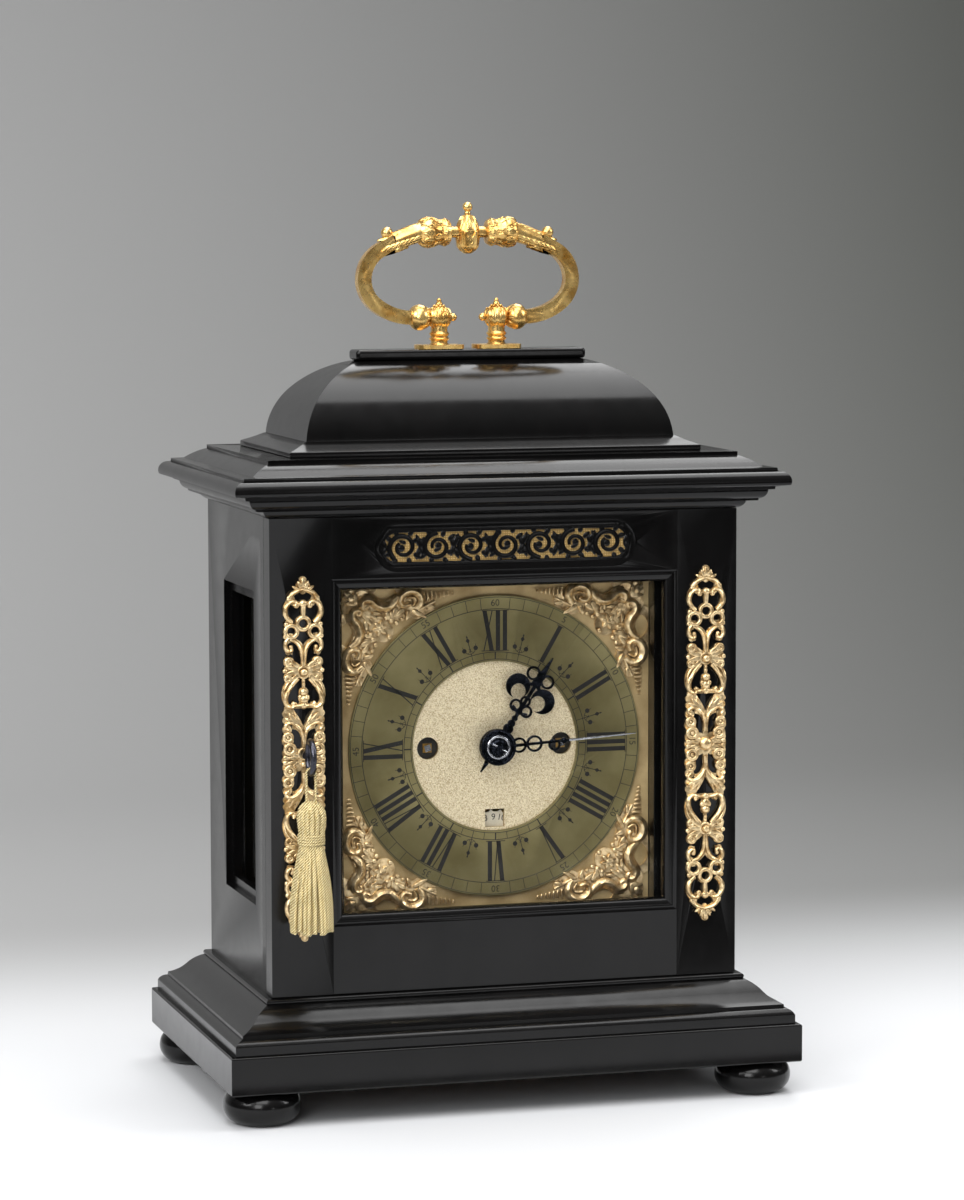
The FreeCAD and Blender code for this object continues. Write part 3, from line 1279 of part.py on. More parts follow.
def make_going_train():
    great_module = winding_spacing / (great_teeth + centre_leaves)
    x_fusee = winding_places[1]
    make("going_fusee", *fusee(x_fusee, great_teeth, 180, great_module))
    make("going_barrel", barrel(barrel_spacing / 2))
    # The centre arbor runs forward through the dial and carries the cannon wheel.
    y_leaf = y_great - 1
    y_wheel = y_centre_wheel
    centre = [
        set_up(wheel(centre_teeth, train_module, 90, wheel_thickness, centre_arbor_radius), 0, 0,
               y_wheel + wheel_thickness),
        set_up(pinion(centre_leaves, great_module, 180 / centre_leaves, pinion_length), 0, 0,
               y_leaf + pinion_length),
    ]
    centre += arbor_pieces(0, 0, ((y_minute_hand + gap, y_leaf), (y_leaf + pinion_length, y_inner_back)),
                           centre_arbor_radius)
    centre.append(pivots(0, 0)[1])
    make("centre_wheel", *centre)
    pivot_holes.append((0, 0, centre_arbor_radius, True, False))
    pivot_holes.append((0, 0, pivot_radius, False, True))
    # Contrate wheel: its pinion is driven by the centre wheel, its teeth stand towards the front.
    band_height = contrate_back - contrate_front
    contrate = crown_gear(contrate_radius, contrate_teeth, 90, contrate_tooth, 0.3, 0.14, 1.6, band_height,
                          arbor_radius)
    y_pinion = y_centre_wheel - 1.5
    z = z_contrate
    solids = [
        set_up(contrate, 0, z, contrate_back),
        set_up(pinion(contrate_leaves, train_module, -90 + 180 / contrate_leaves, pinion_length), 0, z,
               y_pinion + pinion_length),
    ]
    solids += arbor_pieces(0, z,
                           ((y_crown + contrate_start, y_pinion), (y_pinion + pinion_length, y_inner_back)),
                           arbor_radius)
    solids.append(pivots(0, z)[1])
    solids.append(rod(pivot_radius, V(0, y_crown + contrate_start - 2.2, z_dial + z),
                      V(0, y_crown + contrate_start, z_dial + z)))
    make("contrate_wheel", *solids)
    pivot_holes.append((0, z, pivot_radius, False, True))
    # Crown wheel on an upright arbor.
    z_mesh = z_dial + z_contrate + contrate_radius
    z_crown = z_dial + z_verge - pallet_clear - crown_tooth - crown_band
    crown = crown_gear(crown_radius, crown_teeth, 0, crown_tooth, 0.5, 0.12, 1.0, crown_band, arbor_radius)
    crown.translate(V(0, y_crown, z_crown))
    leaf = pinion(crown_leaves, train_module, 90 + 180 / crown_leaves, pinion_length)
    leaf.translate(V(0, y_crown, z_mesh - pinion_length / 2))
    top = z_mesh + pinion_length / 2
    low = z_mesh - pinion_length / 2
    upright = [crown, leaf,
               rod(arbor_radius, V(0, y_crown, top), V(0, y_crown, z_crown + 3)),
               rod(pivot_radius, V(0, y_crown, z_dial + potence_low[0] + 0.4), V(0, y_crown, low))]
    make("crown_wheel", *upright)
    make_verge()


def make_verge():
    z = z_dial + z_verge
    reach = pallet_clear - gap - 0.1
    pieces = [rod(1.0, V(0, y_plate_front + 0.3, z), V(0, y_cock_rear - 0.3, z))]
    for y, lean in ((y_crown - crown_radius, -45), (y_crown + crown_radius, 45)):
        pallet = box(-0.5, 0.5, y - 1.6, y + 1.6, -reach, 0)
        pallet.rotate(V(0, 0, 0), BACK, lean)
        pallet.translate(V(0, 0, z))
        pieces.append(pallet)
    z_bob = z - pendulum_length
    pieces.append(rod(1.0, V(0, y_pendulum, z), V(0, y_pendulum, z_bob - bob_radius - 5)))
    half = bob_thickness / 2
    lens = [(0, -half), (bob_radius * 0.55, -half + 0.6), (bob_radius, -0.6), (bob_radius, 0.6),
            (bob_radius * 0.55, half - 0.6), (0, half)]
    pieces.append(turned(lens, V(0, y_pendulum, z_bob), BACK))
    pieces.append(rod(2.6, V(0, y_pendulum, z - 3), V(0, y_pendulum, z + 3)))
    pieces.append(rod(2.4, V(0, y_pendulum, z_bob - bob_radius - 4),
                      V(0, y_pendulum, z_bob - bob_radius - 1)))
    make("verge_pendulum", joined(pieces))
    pivot_holes.append((0, z_verge, 1.0, True, False))
    pivot_holes.append((0, z_verge, 3.0, False, True))


# ---- striking train, bell and hammer ----

def step_from(place, distance, degrees):
    return polar(place[0], place[1], distance, degrees)


def make_striking_train():
    great_module = winding_spacing / (great_teeth + centre_leaves)
    x_fusee = winding_places[0]
    make("striking_fusee", *fusee(x_fusee, strike_great_teeth, pin_direction, great_module))
    make("striking_barrel", barrel(-barrel_spacing / 2))
    pin_place = step_from((x_fusee, 0), (strike_great_teeth + pin_leaves) / 2 * great_module, pin_direction)
    hoop_place = step_from(pin_place, (pin_teeth + hoop_leaves) / 2 * train_module, hoop_direction)
    warning_place = step_from(hoop_place, (hoop_teeth + warning_leaves) / 2 * upper_module,
                              warning_direction)
    fly_place = step_from(warning_place, (warning_teeth + fly_leaves) / 2 * upper_module, fly_direction)
    y_pins = y_centre_wheel + wheel_thickness
    pins = []
    for i in range(pin_count):
        u, v = polar(pin_place[0], pin_place[1], pin_circle, 360 * (i + 0.5) / pin_count)
        pins.append(rod(pin_radius, V(u, y_pins, z_dial + v), V(u, y_pins + 4, z_dial + v)))
    train_arbor("pin_wheel", pin_place, (pin_teeth, train_module, hoop_direction, y_centre_wheel),
                (pin_leaves, great_module, pin_direction + 180 + 180 / pin_leaves, y_great - 1), pins)
    train_arbor("hoop_wheel", hoop_place, (hoop_teeth, upper_module, warning_direction, y_hoop),
                (hoop_leaves, train_module, hoop_direction + 180 + 180 / hoop_leaves, y_centre_wheel - 1.5))
    train_arbor("warning_wheel", warning_place, (warning_teeth, upper_module, fly_direction, y_warning),
                (warning_leaves, upper_module, warning_direction + 180 + 180 / warning_leaves, y_hoop - 2))
    x, z = fly_place
    y_leaf = y_warning - 2
    vane = box(x - fly_radius, x + fly_radius, y_fly, y_fly + fly_length, z_dial + z - 0.4,
               z_dial + z + 0.4)
    fly = [set_up(pinion(fly_leaves, upper_module, fly_direction + 180 + 180 / fly_leaves, pinion_length),
                  x, z, y_leaf + pinion_length)]
    shafts = arbor_pieces(x, z, ((y_inner_front, y_leaf), (y_leaf + pinion_length, y_inner_back)),
                          arbor_radius)
    fly += [shafts[0], shafts[1].fuse(vane)] + pivots(x, z)
    make("fly", *fly)
    pivot_holes.append((x, z, pivot_radius, True, True))
    make_hammer(pin_place)


def make_hammer(pin_place):
    x, z = hammer_place
    distance = math.hypot(pin_place[0] - x, pin_place[1] - z)
    direction = math.atan2(pin_place[1] - z, pin_place[0] - x)
    tail = box(0, distance - pin_circle - pin_radius - gap, -1, 1, -1.2, 1.2)
    tail.rotate(V(0, 0, 0), BACK, -math.degrees(direction))
    tail.translate(V(x, y_centre_wheel + wheel_thickness + 2, z_dial + z))
    z_head = z_dial + bell_bottom + 4
    x_face = x_bell - bell_radius - hammer_gap
    pieces = [
        rod(arbor_radius, V(x, y_inner_front, z_dial + z), V(x, y_inner_back, z_dial + z)), tail,
        rod(1.0, V(x, y_bell, z_dial + z), V(x, y_bell, z_head)),
        rod(4.5, V(x_face - hammer_length, y_bell, z_head), V(x_face, y_bell, z_head)),
    ] + pivots(x, z)
    make("bell_hammer", joined(pieces))
    pivot_holes.append((x, z, pivot_radius, True, True))
    z0 = z_dial + bell_bottom
    bell = turned([
        (bell_radius, 0), ((bell_radius * 0.8, bell_height * 0.68), (6, bell_height)), (0, bell_height),
        (0, bell_height - bell_wall), (6, bell_height - bell_wall),
        ((bell_radius * 0.8 - bell_wall * 0.8, bell_height * 0.68 - bell_wall * 0.7),
         (bell_radius - bell_wall, 0)),
    ], V(x_bell, y_bell, z0))
    z_arm = z0 + bell_height
    strap_x0, strap_x1 = x_bell - 3.5, x_bell + 3.5
    strap = box(strap_x0, strap_x1, y_back_plate_rear, y_back_plate_rear + 2.5, z_plate + plate_height - 20,
                z_arm + 2.5)
    arm = box(strap_x0, strap_x1, y_bell - 4, y_back_plate_rear + 2.5, z_arm, z_arm + 2.5)
    bolt = hexagon(3.0, x_bell, y_bell, z_arm + 2.5, 2.5)
    make("bell_on_stand", bell, joined([strap, arm, bolt]))


# ---- motion work behind the dial ----

def make_motion_work():
    distance = cannon_teeth * motion_module
    y_cannon = y_plate_front - 1.2 - wheel_thickness
    cannon = set_up(wheel(cannon_teeth, motion_module, 90, wheel_thickness, cannon_pipe_radius), 0, 0,
                    y_cannon + wheel_thickness)
    pipe = rod(cannon_pipe_radius, V(0, y_minute_hand, z_dial), V(0, y_cannon + wheel_thickness, z_dial))
    pipe = pipe.cut(rod(centre_arbor_radius + running, V(0, y_minute_hand - 1, z_dial),
                        V(0, y_plate_front, z_dial)))
    make("cannon_wheel", cannon, pipe)
    leaf_module = 2 * distance / (motion_leaves + hour_teeth)
    y_hour = y_cannon - 3.8
    minute = set_up(wheel(cannon_teeth, motion_module, -90 + 180 / cannon_teeth, wheel_thickness,
                          arbor_radius), 0, distance,
                    y_cannon + wheel_thickness)
    leaf = set_up(pinion(motion_leaves, leaf_module, -90 + 180 / motion_leaves, motion_leaf_length), 0,
                  distance,
                  y_cannon - gap)
    y_leaf = y_cannon - gap - motion_leaf_length
    rods = arbor_pieces(0, distance, ((y_cannon - gap, y_plate_front - 0.4),), arbor_radius)
    rods += arbor_pieces(0, distance, ((y_plate_front - 0.4, y_plate_rear - 0.3), (y_leaf - 2, y_leaf)),
                         pivot_radius)
    make("minute_wheel", minute, leaf, *rods)
    front_only.append((0, distance, pivot_radius))
    bore = cannon_pipe_radius + running
    hour = set_up(wheel(hour_teeth, leaf_module, 90, 1.2, hour_pipe_radius, 6), 0, 0, y_hour + 1.2)
    hour_pipe = rod(hour_pipe_radius, V(0, y_hour_hand, z_dial), V(0, y_hour + 1.2, z_dial))
    make("hour_wheel", hour,
         hour_pipe.cut(rod(bore, V(0, y_hour_hand - 1, z_dial), V(0, y_hour + 3, z_dial))))
    return distance, y_leaf


# ---- plates, pillars, seat board and cocks ----

def make_frame_of_movement(minute_height, y_leaf):
    half = plate_width / 2
    z0, z1 = z_plate, z_plate + plate_height
    front = box(-half, half, y_plate_front, y_plate_rear, z0, z1)
    back = box(-half, half, y_back_plate, y_back_plate_rear, z0, z1)
    for x, z, radius, in_front, in_back in pivot_holes:
        if in_front:
            front = front.cut(rod(radius + running, V(x, y_plate_front - 1, z_dial + z),
                                  V(x, y_plate_rear + 1, z_dial + z)))
        if in_back:
            back = back.cut(rod(radius + running, V(x, y_back_plate - 1, z_dial + z),
                                V(x, y_back_plate_rear + 1, z_dial + z)))
    for x, z, radius in front_only:
        front = front.cut(rod(radius + running, V(x, y_plate_front - 1, z_dial + z),
                              V(x, y_plate_rear + 1, z_dial + z)))
    make("front_plate", front)
    make("back_plate", back)
    make("plate_pillars",
         *[rod(pillar_radius, V(x, y_plate_rear, z_dial + z), V(x, y_back_plate, z_dial + z))
                            for x, z in pillar_places])
    y0, y1 = y_plate_front - seat_overhang, y_back_plate_rear + 0.5
    seat = box(-side_inner, side_inner, y0, y1, z_plate - seat_thickness, z_plate)
    cleats = [box(x0, x0 + cleat_width, y0, y1, z_plate - 2 * seat_thickness, z_plate - seat_thickness)
              for x0 in (-side_inner, side_inner - cleat_width)]
    make("seat_board", seat, *cleats)
    # Potence: two arms from the front plate carry the upright arbor, a third the contrate pivot.
    arms = [box(-4, 4, y_plate_rear, y_crown + 3, z_dial + low, z_dial + high) for low,
            high in (potence_low, potence_high)]
    wall = box(-4, 4, y_plate_rear, y_plate_rear + 3, z_dial + potence_low[0], z_dial + potence_high[1])
    holes = [rod(pivot_radius + running, V(0, y_crown, z_dial + potence_low[0] + 0.2),
                 V(0, y_crown, z_dial + potence_low[1] + 1)),
             rod(arbor_radius + running, V(0, y_crown, z_dial + potence_high[0] - 1),
                 V(0, y_crown, z_dial + potence_high[1] + 1))]
    y_nose = y_crown + contrate_start
    nose = box(-3, 3, y_plate_rear, y_nose - 0.4, z_dial + z_contrate - 2.4, z_dial + z_contrate + 2.4)
    drop = box(-3, 3, y_plate_rear, y_plate_rear + 3, z_dial + z_contrate - 2.4,
               z_dial + potence_low[0] + 1)
    nose = nose.cut(rod(pivot_radius + running, V(0, y_nose - 2.6, z_dial + z_contrate),
                        V(0, y_nose, z_dial + z_contrate)))
    potence = joined(arms + [wall, nose, drop]).cut(holes)
    z = z_dial + z_verge
    apron = box(-16, 16, y_cock_rear - 2.5, y_cock_rear, z - 7, z + 7)
    legs = [box(x - 2, x + 2, y_back_plate_rear, y_cock_rear - 2, z + 1, z + 7) for x in (-12, 12)]
    cock = joined([apron] + legs).cut(rod(1.0 + running, V(0, y_cock_rear - 4, z),
                                          V(0, y_cock_rear + 1, z)))
    z_high = z_dial + minute_height
    bridge = box(-3, 3, y_leaf - 2.2, y_leaf - 0.4, z_high - 3, z_high + 19)
    foot = box(-3, 3, y_leaf - 2.2, y_plate_front, z_high + 13, z_high + 19)
    bridge = joined([bridge, foot]).cut(rod(pivot_radius + running, V(0, y_leaf - 3, z_high),
                                            V(0, y_leaf, z_high)))
    make("train_cocks", potence, cock, bridge)


pivot_holes = []
front_only = []
make_base()
make_sides()
make_top()
make_posts()
make_handle()
make_front_door()
make_mounts()
make_lock()
make_hinges()
make_back_door()
make_dial()
make_spandrels()
make_hands()
make_going_train()
make_striking_train()
make_frame_of_movement(*make_motion_work())

os.makedirs("parts", exist_ok=True)
for name, shape in shapes.items():
    shape.exportStep("parts/" + name + ".step")
    print(name, len(shape.Solids), round(shape.Volume, 1), shape.isValid())
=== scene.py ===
import json
import math
import random
import bmesh
import bpy
from mathutils import Matrix, Vector


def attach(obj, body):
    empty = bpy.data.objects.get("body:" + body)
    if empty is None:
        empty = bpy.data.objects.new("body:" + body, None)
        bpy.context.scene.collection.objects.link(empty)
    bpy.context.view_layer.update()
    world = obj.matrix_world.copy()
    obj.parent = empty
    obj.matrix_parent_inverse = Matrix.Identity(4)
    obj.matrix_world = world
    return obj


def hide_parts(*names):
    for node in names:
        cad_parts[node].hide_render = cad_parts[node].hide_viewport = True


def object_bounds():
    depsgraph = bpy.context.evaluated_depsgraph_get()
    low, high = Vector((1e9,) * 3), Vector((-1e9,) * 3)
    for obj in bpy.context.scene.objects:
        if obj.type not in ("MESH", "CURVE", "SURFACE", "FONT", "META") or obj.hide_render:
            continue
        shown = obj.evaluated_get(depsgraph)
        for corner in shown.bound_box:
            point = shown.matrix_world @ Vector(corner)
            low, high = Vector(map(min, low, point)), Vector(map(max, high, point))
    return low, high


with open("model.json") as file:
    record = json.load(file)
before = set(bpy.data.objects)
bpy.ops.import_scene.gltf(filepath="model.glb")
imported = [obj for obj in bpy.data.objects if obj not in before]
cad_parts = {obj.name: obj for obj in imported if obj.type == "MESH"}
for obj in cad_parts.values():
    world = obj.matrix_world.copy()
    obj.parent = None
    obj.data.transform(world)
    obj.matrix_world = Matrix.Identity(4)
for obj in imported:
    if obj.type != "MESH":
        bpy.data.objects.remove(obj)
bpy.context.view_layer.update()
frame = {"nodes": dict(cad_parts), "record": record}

mm = 0.001
nodes = frame["nodes"]
bodyOf = {node: body for body, members in frame["record"]["behaviour"]["bodies"].items()
          for node in members}


# ---- camera and light ----

cameraSettings = {"place": (-0.57188, -1.99844, 0.44750), "right": (0.960, -0.278, -0.002),
                  "forward": (0.277, 0.956, -0.098), "lens": 124.34, "sensor": 36.0}


def addCamera():
    bpy.ops.object.camera_add()
    camera = bpy.context.object
    forward = Vector(cameraSettings["forward"]).normalized()
    right = Vector(cameraSettings["right"]).normalized()
    up = right.cross(forward).normalized()
    right = forward.cross(up)
    turn = Matrix((right, up, -forward)).transposed().to_4x4()
    camera.matrix_world = Matrix.Translation(cameraSettings["place"]) @ turn
    camera.data.lens = cameraSettings["lens"]
    camera.data.sensor_width = cameraSettings["sensor"]
    camera.data.clip_end = 50
    bpy.context.scene.camera = camera


lightSettings = {
    "left": {"place": (-1.9, -0.9, 1.5), "size": 1.1, "watts": 30},
    "high": {"place": (-0.5, -1.7, 2.3), "size": 1.5, "watts": 34},
    "front": {"place": (-1.1, -2.1, 0.95), "size": 0.9, "watts": 16},
    "low": {"place": (0.715, -2.5, 0.36), "size": 0.3, "watts": 0.8},
    "right": {"place": (1.9, -0.7, 1.3), "size": 0.9, "watts": 16},
    "top": {"place": (0.1, 0.0, 2.4), "size": 1.8, "watts": 46},
    "back": {"place": (0.7, 1.3, 1.9), "size": 1.0, "watts": 14},
}
roomSettings = {"zenith": 0.5, "horizon": 0.06}
# left and right are the greys of painted shade at the back of the sheet
paperSettings = {"width": 8.0, "front": -0.75, "bend": 1.0, "radius": 0.8, "rise": 2.6, "floor": "#cfd0d2",
                 "left": "#8f8f8f", "right": "#4a4b48", "across": (-0.2, 1.0), "backward": (0.02, 0.5)}


def linear(text):
    # an sRGB hex value as the linear colour that the sockets take
    parts = [int(text[i:i + 2], 16) / 255 for i in (1, 3, 5)]
    return [p / 12.92 if p <= 0.04045 else ((p + 0.055) / 1.055) ** 2.4 for p in parts] + [1.0]


def addNode(tree, kind, inputs=None, **settings):
    node = tree.nodes.new(kind)
    for key, value in settings.items():
        setattr(node, key, value)
    for name, value in (inputs or {}).items():
        if isinstance(value, bpy.types.NodeSocket):
            tree.links.new(value, node.inputs[name])
        else:
            node.inputs[name].default_value = value
    return node


def sweepPoint(along):
    # a sheet of paper that lies on the table, bends up behind the clock and hangs from a bar
    flatLength = paperSettings["bend"] - paperSettings["front"]
    radius = paperSettings["radius"]
    if along < flatLength:
        return paperSettings["front"] + along, 0.0
    turn = (along - flatLength) / radius
    if turn < math.pi / 2:
        return paperSettings["bend"] + radius * math.sin(turn), radius * (1 - math.cos(turn))
    return paperSettings["bend"] + radius, radius + along - flatLength - radius * math.pi / 2


def studioPaper():
    # matt paper, pale in front, with painted shade that turns it grey towards the back and darker to the
    # right
    paper = bpy.data.materials.new("paintedShadePaper")
    paper.use_nodes = True
    tree = paper.node_tree
    surface = tree.nodes["Principled BSDF"]
    surface.inputs["Roughness"].default_value = 0.8
    place = addNode(tree, "ShaderNodeTexCoord").outputs["Object"]
    parts = addNode(tree, "ShaderNodeSeparateXYZ", {"Vector": place})
    across = addNode(tree, "ShaderNodeMapRange",
                     {"Value": parts.outputs["X"], "From Min": paperSettings["across"][0],
                      "From Max": paperSettings["across"][1]})
    # painted shade: the grey at the back darkens from left to right
    grey = addNode(tree, "ShaderNodeMix", {"Factor": across.outputs["Result"]}, data_type="RGBA")
    grey.inputs[6].default_value = linear(paperSettings["left"])
    grey.inputs[7].default_value = linear(paperSettings["right"])
    # painted shade: the pale floor fades into the grey towards the back
    back = addNode(tree, "ShaderNodeMapRange",
                   {"Value": parts.outputs["Y"], "From Min": paperSettings["backward"][0],
                    "From Max": paperSettings["backward"][1]},
                   interpolation_type="SMOOTHSTEP")
    whole = addNode(tree, "ShaderNodeMix", {"Factor": back.outputs["Result"]}, data_type="RGBA")
    whole.inputs[6].default_value = linear(paperSettings["floor"])
    tree.links.new(grey.outputs[2], whole.inputs[7])
    tree.links.new(whole.outputs[2], surface.inputs["Base Color"])
    # from behind the sheet is clear, so that the clock's back can be looked at
    behind = addNode(tree, "ShaderNodeNewGeometry").outputs["Backfacing"]
    clear = addNode(tree, "ShaderNodeBsdfTransparent")
    sides = addNode(tree, "ShaderNodeMixShader", {0: behind, 1: surface.outputs[0], 2: clear.outputs[0]})
    tree.links.new(sides.outputs[0], tree.nodes["Material Output"].inputs["Surface"])
    return paper


def addPaper():
    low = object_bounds()[0]
    bpy.ops.mesh.primitive_grid_add(x_subdivisions=2, y_subdivisions=80, size=1)
    sheet = bpy.context.object
    sheet.name = "studioPaper"
    radius, rise = paperSettings["radius"], paperSettings["rise"]
    length = paperSettings["bend"] - paperSettings["front"] + radius * math.pi / 2 + rise
    for vertex in sheet.data.vertices:
        y, z = sweepPoint((vertex.co.y + 0.5) * length)
        vertex.co = (vertex.co.x * paperSettings["width"], y, z + low.z - 0.0002)
    bpy.ops.object.shade_smooth()
    sheet.data.materials.append(studioPaper())


def addLights():
    for name, lamp in lightSettings.items():
        bpy.ops.object.light_add(type="AREA", location=lamp["place"])
        light = bpy.context.object
        light.name = name + "Light"
        light.data.size = lamp["size"]
        light.data.energy = lamp["watts"]
        aim = Vector((0, 0, 0.22)) - Vector(lamp["place"])
        light.rotation_euler = aim.to_track_quat("-Z", "Y").to_euler()


def addWorld():
    # a dark room with a pale ceiling
    world = bpy.data.worlds.new("studioWorld")
    bpy.context.scene.world = world
    world.use_nodes = True
    tree = world.node_tree
    tree.nodes.clear()
    place = addNode(tree, "ShaderNodeTexCoord").outputs["Generated"]
    parts = addNode(tree, "ShaderNodeSeparateXYZ", {"Vector": place})
    height = addNode(tree, "ShaderNodeMapRange",
                     {"Value": parts.outputs["Z"], "From Min": 0.1, "From Max": 0.9,
                      "To Min": roomSettings["horizon"], "To Max": roomSettings["zenith"]})
    lit = addNode(tree, "ShaderNodeBackground", {"Strength": height.outputs["Result"]})
    output = addNode(tree, "ShaderNodeOutputWorld")
    tree.links.new(lit.outputs[0], output.inputs[0])
    bpy.context.scene.view_settings.view_transform = "Standard"


addCamera()
addPaper()
addLights()
addWorld()
print("stage and camera")


# ---- materials ----

def newMaterial(name, **surfaceValues):
    material = bpy.data.materials.new(name)
    material.use_nodes = True
    tree = material.node_tree
    surface = tree.nodes["Principled BSDF"]
    for socket, value in surfaceValues.items():
        surface.inputs[socket.replace("_", " ")].default_value = value
    place = addNode(tree, "ShaderNodeTexCoord").outputs["Object"]
    return material, tree, surface, place


def mixedColour(tree, factor, first, second, low=0.3, high=0.7):
    ramp = addNode(tree, "ShaderNodeValToRGB", {"Fac": factor})
    ramp.color_ramp.elements[0].position = low
    ramp.color_ramp.elements[1].position = high
    ramp.color_ramp.elements[0].color = linear(first)
    ramp.color_ramp.elements[1].color = linear(second)
    return ramp.outputs["Color"]


def rangeOf(tree, value, low, high):
    return addNode(tree, "ShaderNodeMapRange",
                   {"Value": value, "To Min": low, "To Max": high}).outputs["Result"]


def painted(tree, surface, colour, rough=None):
    tree.links.new(colour, surface.inputs["Base Color"])
    if rough is not None:
        tree.links.new(rough, surface.inputs["Roughness"])


def bumped(tree, surface, height, distance, strength=1.0):
    bump = addNode(tree, "ShaderNodeBump", {"Height": height, "Distance": distance, "Strength": strength})
    tree.links.new(bump.outputs["Normal"], surface.inputs["Normal"])


def noise(tree, place, millimetres, detail=3.0, stretch=(1, 1, 1)):
    # millimetres is the size of one blotch
    mapped = addNode(tree, "ShaderNodeMapping", {"Vector": place, "Scale": stretch})
    return addNode(tree, "ShaderNodeTexNoise", {"Vector": mapped.outputs[0], "Scale": 1000 / millimetres,
                                                "Detail": detail}).outputs["Fac"]


def ebonisedWood():
    # pear veneer stained black and french polished: deep black, soft mirror, faint open grain and dust
    material, tree, surface, place = newMaterial("ebonisedPearwood", IOR=1.36, Coat_Weight=0.05,
                                                 Coat_Roughness=0.1)
    tone = noise(tree, place, 22, 4, (1, 1, 0.2))
    painted(tree, surface, mixedColour(tree, tone, "#050505", "#0b0a0a"),
            rangeOf(tree, noise(tree, place, 9, 5), 0.13, 0.26))
    bumped(tree, surface, noise(tree, place, 0.8 * 12 ** 0.5, 4, (1, 1, 1 / 12)), 0.00003, 0.5)
    return material


def giltBrass(name="chasedGiltBrass", relief=0.00025, size=1.6, dark="#9c7a4a", light="#fbe0ae",
              rough=(0.22, 0.42)):
    # brass castings, chased and fire gilt: warm yellow, bright on the high parts, with painted shade that
    # turns the hollows brown
    material, tree, surface, place = newMaterial(name, Metallic=0.86)
    patch = mixedColour(tree, noise(tree, place, size * 2.2, 4), dark, light, 0.28, 0.6)
    # painted shade: ambient occlusion mixes the hollows towards dark brown
    hollow = addNode(tree, "ShaderNodeAmbientOcclusion", {"Distance": 0.0022}, only_local=True, samples=6)
    hollowShade = addNode(tree, "ShaderNodeMix", {"Factor": rangeOf(tree, hollow.outputs["AO"], 0.12, 1.0)},
                   data_type="RGBA")
    hollowShade.inputs[6].default_value = linear("#3a2410")
    tree.links.new(patch, hollowShade.inputs[7])
    painted(tree, surface, hollowShade.outputs[2],
            rangeOf(tree, noise(tree, place, size * 1.4, 3), rough[0], rough[1]))
    bumped(tree, surface, noise(tree, place, size, 2), relief, 0.8)
    return material


def mattedBrass():
    # the centre is punched all over with a matting tool and gilt: pale gold, every dent a glint
    material, tree, surface, place = newMaterial("mattedGiltCentre", Metallic=0.72)
    punched = addNode(tree, "ShaderNodeTexVoronoi", {"Vector": place, "Scale": 1000 / 0.62})
    colour = mixedColour(tree, noise(tree, place, 0.5, 2), "#c6ad80", "#fff2d0", 0.3, 0.6)
    painted(tree, surface, colour)
    surface.inputs["Roughness"].default_value = 0.46
    bumped(tree, surface, punched.outputs["Distance"], 0.00022, 0.9)
    return material


def ringBrass():
    # the chapter ring has lost its silvering: old lacquered brass, olive, finely grained
    material, tree, surface, place = newMaterial("oldLacqueredBrass", Metallic=0.85)
    patch = noise(tree, place, 26, 4)
    painted(tree, surface, mixedColour(tree, patch, "#746b46", "#938a62"),
            rangeOf(tree, noise(tree, place, 12, 4), 0.34, 0.5))
    bumped(tree, surface, noise(tree, place, 0.5, 2, (1, 1, 0.12)), 0.00002, 0.5)
    return material


def plainBrass(name="grainedBrass", dark="#a07a3c", light="#d8b26a", rough=(0.26, 0.42), metal=1.0):
    # rolled brass, grained with emery along one way and lacquered
    material, tree, surface, place = newMaterial(name, Metallic=metal)
    painted(tree, surface, mixedColour(tree, noise(tree, place, 14, 4), dark, light),
            rangeOf(tree, noise(tree, place, 7, 4), rough[0], rough[1]))
    bumped(tree, surface, noise(tree, place, 0.6, 2, (0.1, 1, 1)), 0.00002, 0.5)
    return material


def darkSteel(name="bluedSteel", dark="#101217", light="#2b2e36", rough=(0.18, 0.34)):
    # filed and polished steel, blued nearly black over a flame
    material, tree, surface, place = newMaterial(name, Metallic=1.0)
    painted(tree, surface, mixedColour(tree, noise(tree, place, 4, 3), dark, light),
            rangeOf(tree, noise(tree, place, 2, 3), rough[0], rough[1]))
    bumped(tree, surface, noise(tree, place, 0.5, 2), 0.00002, 0.4)
    return material


def oilFinishedOak():
    # oak boards inside the case, oiled, long open grain
    material, tree, surface, place = newMaterial("oiledOak", Roughness=0.55)
    grain = noise(tree, place, 2.2, 5, (0.06, 1, 1))
    painted(tree, surface, mixedColour(tree, grain, "#5b3d20", "#94683a"))
    bumped(tree, surface, grain, 0.00012, 0.5)
    return material


def wovenSilk():
    # gold silk stretched behind the fret, plain weave with a thread every 0.6 mm so that it shows
    material, tree, surface, place = newMaterial("wovenGoldSilk", Roughness=0.6, Sheen_Weight=0.5)
    warp = addNode(tree, "ShaderNodeTexWave", {"Vector": place, "Scale": 260.0, "Distortion": 0.6},
                   bands_direction="X")
    weft = addNode(tree, "ShaderNodeTexWave", {"Vector": place, "Scale": 260.0, "Distortion": 0.6},
                   bands_direction="Z")
    both = addNode(tree, "ShaderNodeMath", {0: warp.outputs["Fac"], 1: weft.outputs["Fac"]},
                   operation="MULTIPLY")
    painted(tree, surface, mixedColour(tree, both.outputs[0], "#c29a52", "#f6d898", 0.1, 0.8))
    bumped(tree, surface, both.outputs[0], 0.00015, 0.6)
    return material


